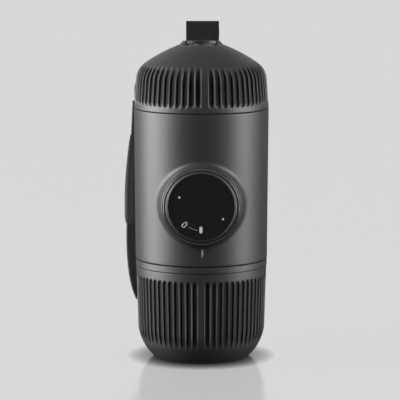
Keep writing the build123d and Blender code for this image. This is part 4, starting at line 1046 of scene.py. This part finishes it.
def ribbon(name, path, sides, replaced, closed=False):
    """Knitted webbing along a path; sides gives the way across at each point."""
    path, run = even(path, WEB_STEP)
    shares = np.linspace(0.0, 1.0, len(path))
    side_shares = np.linspace(0, 1, len(sides))
    sides = np.stack([np.interp(shares, side_shares, np.array(sides)[:, i]) for i in range(3)], axis=-1)
    if closed:
        path, run, sides = path[:-1], run[:-1], sides[:-1]
        tangent = np.roll(path, -1, axis=0) - np.roll(path, 1, axis=0)
    else:
        tangent = np.gradient(path, axis=0)
    tangent /= np.linalg.norm(tangent, axis=1)[:, None]
    sides /= np.linalg.norm(sides, axis=1)[:, None]
    normal = np.cross(sides, tangent)
    across = np.linspace(-1.0, 1.0, 49)
    bead = smooth_step((np.abs(across) - BEAD_FROM) / BEAD_FADE)
    past_edge = np.clip((np.abs(across) - (1 - EDGE_ROUND)) / EDGE_ROUND, 0, 1)
    edge = np.sqrt(np.clip(1.0 - past_edge**2, 0.0, 1.0))
    half = WEB_THICK / 2 * (GROUND_THICK + (1 - GROUND_THICK) * bead) * np.maximum(edge, EDGE_THIN)
    u = across * (WEB_WIDTH / 2 - 0.12)
    s = run[:, None]
    knit = np.sin(2 * math.pi * (u + s) / KNIT_CELL) * np.sin(2 * math.pi * (u - s) / KNIT_CELL)
    beads = np.sin(2 * math.pi * s / BEAD_PITCH)
    relief = KNIT_HEIGHT * knit * (1 - bead) + BEAD_HEIGHT * beads * bead
    selvedge = WAVER * np.sin(2 * math.pi * s / WAVER_PITCH) * np.sign(u) * (np.abs(across) > WAVER_FROM)
    middle = path[:, None, :] + (u + selvedge)[:, :, None] * sides[:, None, :]
    off = (half + relief * edge)[:, :, None] * normal[:, None, :]
    rows = np.concatenate([middle + off, (middle - off)[:, ::-1, :]], axis=1)
    columns = rows.shape[1]
    faces = grid_faces(len(path), columns, closed_rows=closed)
    if not closed:
        top = (len(path) - 1) * columns
        faces += [tuple(range(columns))[::-1], tuple(range(top, top + columns))]
    new_piece(name, rows.reshape(-1, 3), faces, "webbing", "strap", replaced)


print("webbing", WEB_WIDTH, "mm wide")

# %% [markdown]
# ### Tab, neck and loop
#
# The tab is a closed run: it goes round the pin, up, over a tight fold and down again. The neck leaves
# the tab backwards, falls beside the dome and turns from facing back to facing out as it reaches the
# loop, so its way across is blended along the curve. The loop hangs flat in one upright plane, and its
# outer leg bows a little away from the inner one.

# %% Strap tab
FOLD_RADIUS, EYE_RADIUS, TAB_RISE = 0.62, 1.56, 12.2  # the fold at the top, the eye round the pin


def arc_points(height, radius, first, last, steps):
    """Points of an arc in the Y-Z plane, above the pin or round it."""
    turns = np.radians(np.linspace(first, last, steps))
    return [(PIN_X, PIN_Y + radius * math.cos(t), height + radius * math.sin(t)) for t in turns]


tab_path = (
    arc_points(PIN_Z, EYE_RADIUS, -180.0, 0.0, 14)
    + arc_points(PIN_Z + TAB_RISE, FOLD_RADIUS, 5.0, 175.0, 8)
    + arc_points(PIN_Z, EYE_RADIUS, 180.0, 180.0, 1)
)
ribbon("strap_tab_webbing", tab_path, [(1, 0, 0), (1, 0, 0)], "strap_tab", closed=True)

# %% Strap neck
LOOP_REACH = 36.2  # from the body's axis to the middle of the loop's top
NECK_DROP = 16  # points down the neck's straight end
neck_start = np.array([PIN_X, PIN_Y + 2.5, PIN_Z + 10.4])
neck_bend = OUT * LOOP_REACH + UP * 134.0
neck_curve = bezier(
    [neck_start, neck_start + (1.2, 12.0, -12.0), neck_start + (-1.2, 12.0, -31.5),
     neck_bend + ASIDE * 19.6 + OUT * 3.0 + UP * 5.0, neck_bend], 60
)
neck_share = np.linspace(0.0, 1.0, 61)[:, None]
neck_facing = np.array([0.0, 1.0, 0.0]) * (1 - neck_share) + OUT * neck_share
neck_sides = np.cross(neck_facing, np.gradient(neck_curve, axis=0))
neck_sides /= np.linalg.norm(neck_sides, axis=1)[:, None]
drop_side = ASIDE if neck_sides[-1] @ ASIDE > 0 else -ASIDE
neck_path = np.concatenate([neck_curve, neck_bend - UP * np.linspace(1.0, 17.0, NECK_DROP)[:, None]])
neck_sides = np.concatenate([neck_sides, np.repeat(drop_side[None], NECK_DROP, axis=0)])
ribbon("strap_neck_webbing", neck_path, neck_sides, "strap_neck")

# %% Hand loop
LOOP_TOP, LOOP_OUTER, LOOP_INNER = 125.0, 42.0, 34.5
loop_flat = np.concatenate([
    [(37.46, LOOP_TOP), (LOOP_OUTER, 60.0)],
    bezier([(LOOP_OUTER, 60.0), (42.2, 44.0), (40.6, 33.0), (36.3, 26.2)], 30)[1:],
    bezier([(36.3, 26.2), (35.3, 24.6), (LOOP_INNER, 25.4), (LOOP_INNER, 27.8)], 12)[1:],
    [(LOOP_INNER, 42.15), (34.94, LOOP_TOP)],
])
loop_path = loop_flat[:, :1] * OUT + loop_flat[:, 1:] * UP
ribbon("strap_loop_webbing", loop_path, [ASIDE, ASIDE], "strap_loop")

# %% [markdown]
# ## Strap pad
#
# The outer leg of the loop is wrapped in a thin padded sleeve of spacer mesh. It is a pillow sewn all
# round, so it is made as one: a flat closed form is inflated by the cloth solver, with its points kept
# from moving far, and then pressed in along its sewn lines.

# %% Pad's place
PAD_LONG, PAD_WIDE, PAD_END, PAD_THICK, PAD_MIDDLE = 47.4, 22.2, 18.8, 3.4, 85.5
LEG_REACH, LEG_LOW = 42.6, 60.0  # the outer leg's face at its lowest straight point, and its height
LEAN = (LEG_REACH - LOOP_REACH - 0.66 - WEB_THICK) / (LOOP_TOP - LEG_LOW)
pad_up = UP - OUT * LEAN
pad_up /= np.linalg.norm(pad_up)
pad_out = np.cross(pad_up, ASIDE)
pad_out = pad_out if pad_out @ OUT > 0 else -pad_out
pad_centre = OUT * (LEG_REACH - WEB_THICK / 2 - LEAN * (PAD_MIDDLE - LEG_LOW)) + UP * PAD_MIDDLE
print("pad leans out by", round(math.degrees(math.atan(LEAN)), 1), "degrees")

# %% [markdown]
# ### The flat form
#
# Two sheets of the same outline meet along it. The pad is widest in its middle, and thins towards its
# upper end, where less filling lies between the sheets.


# %% Pad blank
def pad_half_width(share):
    """Half the pad's width; share runs from -1 at one end to 1 at the other."""
    return PAD_END / 2 + (PAD_WIDE - PAD_END) / 2 * (1 - share**2)


def flat_pad():
    """The pad's closed form, points as (along, across, out) in millimetres."""
    along = np.linspace(-1.0, 1.0, 57)
    across = np.linspace(-1.0, 1.0, 35)
    a, c = np.meshgrid(along, across, indexing="ij")
    corner = 1.0 - np.clip(np.abs(a) - 0.90, 0.0, None) ** 2 * 14.0
    wide = pad_half_width(a) * corner
    edge = np.minimum(1.0, np.minimum((1 - np.abs(a)) * 9.0, (1 - np.abs(c)) * 5.0))
    thin = 1.0 - 0.5 * np.clip((a + 0.17) / 1.17, 0.0, 1.0)
    thick = PAD_THICK / 2 * thin * np.sqrt(1 - (1 - edge) ** 2)
    top = np.stack([a * PAD_LONG / 2, c * wide, thick], axis=-1).reshape(-1, 3)
    low = np.stack([a * PAD_LONG / 2, c * wide, -thick], axis=-1).reshape(-1, 3)
    return np.concatenate([top, low]), along, across


print("pad", PAD_LONG, "by", PAD_WIDE, "mm before it is filled")

# %% [markdown]
# ### Filling it
#
# The cloth solver is made for garments, and a form of a few millimetres gives it nothing to hold. So the
# blank is grown first and made small again afterwards. Pressure alone would turn it into a balloon, and
# each point's way is capped for that.

# %% Cloth solver
GROW = 100.0  # the solver works at a hundred times life size in metres
PUFF, PUFF_FRAMES, PUFF_CAP = 4.0, 20, 0.55  # pressure, how long it acts, how far a point may move in mm


def inflate(points, faces):
    """Cloth with a little pressure inside; every point stays within a cap of where it began."""
    mesh = bpy.data.meshes.new("pad_blank")
    mesh.from_pydata((points * MM * GROW).tolist(), [], faces)
    blank = bpy.data.objects.new("pad_blank", mesh)
    bpy.context.scene.collection.objects.link(blank)
    work = bmesh.new()
    work.from_mesh(mesh)
    bmesh.ops.remove_doubles(work, verts=work.verts, dist=1e-5 * GROW)
    bmesh.ops.recalc_face_normals(work, faces=work.faces)
    work.to_mesh(mesh)
    work.free()
    start = np.array([v.co for v in mesh.vertices])
    cloth = blank.modifiers.new("cloth", "CLOTH")
    cloth.settings.use_pressure = True
    cloth.settings.uniform_pressure_force = PUFF
    cloth.settings.effector_weights.gravity = 0.0
    cloth.settings.quality = 6
    for step in range(1, PUFF_FRAMES + 1):
        bpy.context.scene.frame_set(step)
    seen = blank.evaluated_get(bpy.context.evaluated_depsgraph_get())
    end = np.array([v.co for v in seen.data.vertices])
    blank.modifiers.remove(cloth)
    bpy.context.scene.frame_set(1)
    move = end - start
    cap = PUFF_CAP * MM * GROW
    length = np.linalg.norm(move, axis=1)
    move *= (np.minimum(length, cap) / np.maximum(length, 1e-9))[:, None]
    made = (start + move) / (MM * GROW)
    kept = [tuple(p.vertices) for p in mesh.polygons]
    bpy.data.objects.remove(blank)
    return made, kept


print("pressure", PUFF, "for", PUFF_FRAMES, "frames")

# %% [markdown]
# ### Sewn lines
#
# A line of stitches runs round the pad inside its edge. It presses the filling flat, so the thickness
# dips there, and fine cells of the spacer mesh stand up in between.

# %% Pad
SEAM_ACROSS, SEAM_ALONG = 0.80, 0.88  # where the stitches run, in half widths and half lengths
SEAM_WIDTH, SEAM_DIP = 0.55, 0.45  # in millimetres, and as a share of the thickness
CELL_HEIGHT, CELL_TURN = 0.06, 2.9  # of the spacer mesh: millimetres, radians a millimetre
pad_points, pad_along, pad_across = flat_pad()
rows, columns = len(pad_along), len(pad_across)
pad_faces = grid_faces(rows, columns, closed_columns=False) + [
    face[::-1] for face in grid_faces(rows, columns, closed_columns=False, start=rows * columns)
]
pad_points, pad_faces = inflate(pad_points, pad_faces)
share_along = pad_points[:, 0] / (PAD_LONG / 2)
share_across = pad_points[:, 1] / pad_half_width(np.clip(share_along, -1, 1))
side_gap = np.abs(np.abs(share_across) - SEAM_ACROSS) * 9.0  # in millimetres, more or less
end_gap = np.abs(np.abs(share_along) - SEAM_ALONG) * 16.0
sewn = 1.0 - SEAM_DIP * np.exp(-((np.minimum(side_gap, end_gap) / SEAM_WIDTH) ** 2))
along, aside, out = pad_points.T[:, :, None]
on_face = np.sign(out) * (np.abs(out) > 0.6)
mesh_cells = CELL_HEIGHT * np.sin(along * CELL_TURN) * np.sin(aside * CELL_TURN) * on_face
pad_placed = pad_centre + along * pad_up + aside * ASIDE + (out * sewn[:, None] + mesh_cells) * pad_out
pad = new_piece("strap_pad_cushion", pad_placed, pad_faces, "mesh_pad", "strap", "strap_pad")

# %% [markdown]
# ## Floor and backdrop
#
# The maker stands on a pale glossy sweep. The floor glows evenly, so that it stays one tone from near
# to far, and mirrors a pale card behind it by the same amount: what the mirror adds is what the glow
# gives up. Near the cup the glow is dimmed by ambient occlusion, a painted contact shadow, and the
# maker's own dark reflection shows.

# %% Floor
PALE = 0.694
GLOW_SHARE = 0.968  # of the card's tone; what the floor mirrors of the card makes up the rest
SHADE_REACH, SHADE_DEPTH = 0.011, 2.2  # the contact shade under the cup, in metres, and its strength


def stage_sheet(name, corners, finish):
    """One flat sheet of the studio, in metres."""
    mesh = bpy.data.meshes.new(name)
    mesh.from_pydata(corners, [], [(0, 1, 2, 3)])
    mesh.materials.append(finish.material)
    sheet = bpy.data.objects.new(name, mesh)
    bpy.context.scene.collection.objects.link(sheet)
    return sheet


floor_finish = Finish("floor", roughness=1.0, specular_ior_level=0.0, emission_strength=1.0)
_, floor_point = floor_finish.place()
floor_drift = floor_finish.noise(floor_point, 0.004, 2.0)
floor_finish.set("Base Color", floor_finish.blend(floor_drift, grey(0.010), grey(0.012)))
# ambient occlusion dims the glow next to the maker: a painted contact shadow
painted_contact_shadow = floor_finish.node("ShaderNodeAmbientOcclusion", {"samples": 12}, {"Distance": SHADE_REACH}, 1)
glow = floor_finish.blend(painted_contact_shadow.raised(SHADE_DEPTH), grey(0.02), grey(PALE * GLOW_SHARE))
floor_finish.set("Emission Color", glow)
mirror = floor_finish.node("ShaderNodeBsdfGlossy", {}, {"Color": grey(1.0), "Roughness": 0.16})
share = floor_finish.node("ShaderNodeFresnel", {}, {"IOR": 1.30})
matt = Wire(floor_finish, floor_finish.shader.outputs["BSDF"])
mixed = floor_finish.node("ShaderNodeMixShader", {}, {0: share, 1: matt, 2: mirror})
floor_output = next(n for n in floor_finish.tree.nodes if n.type == "OUTPUT_MATERIAL")
floor_finish.tree.links.new(mixed.socket, floor_output.inputs["Surface"])
floor = stage_sheet("floor", [(-6, -6, 0), (6, -6, 0), (6, 6, 0), (-6, 6, 0)], floor_finish)
floor.visible_diffuse = floor.visible_glossy = False

card_finish = Finish("card", roughness=1.0, specular_ior_level=0.0, emission_strength=1.0)
card_finish.set("Base Color", grey(0.0))
card_finish.set("Emission Color", grey(PALE))
stage_sheet("card", [(-4, 3.3, 0), (4, 3.3, 0), (4, 3.3, 3), (-4, 3.3, 3)], card_finish)
print("floor and card at", PALE)
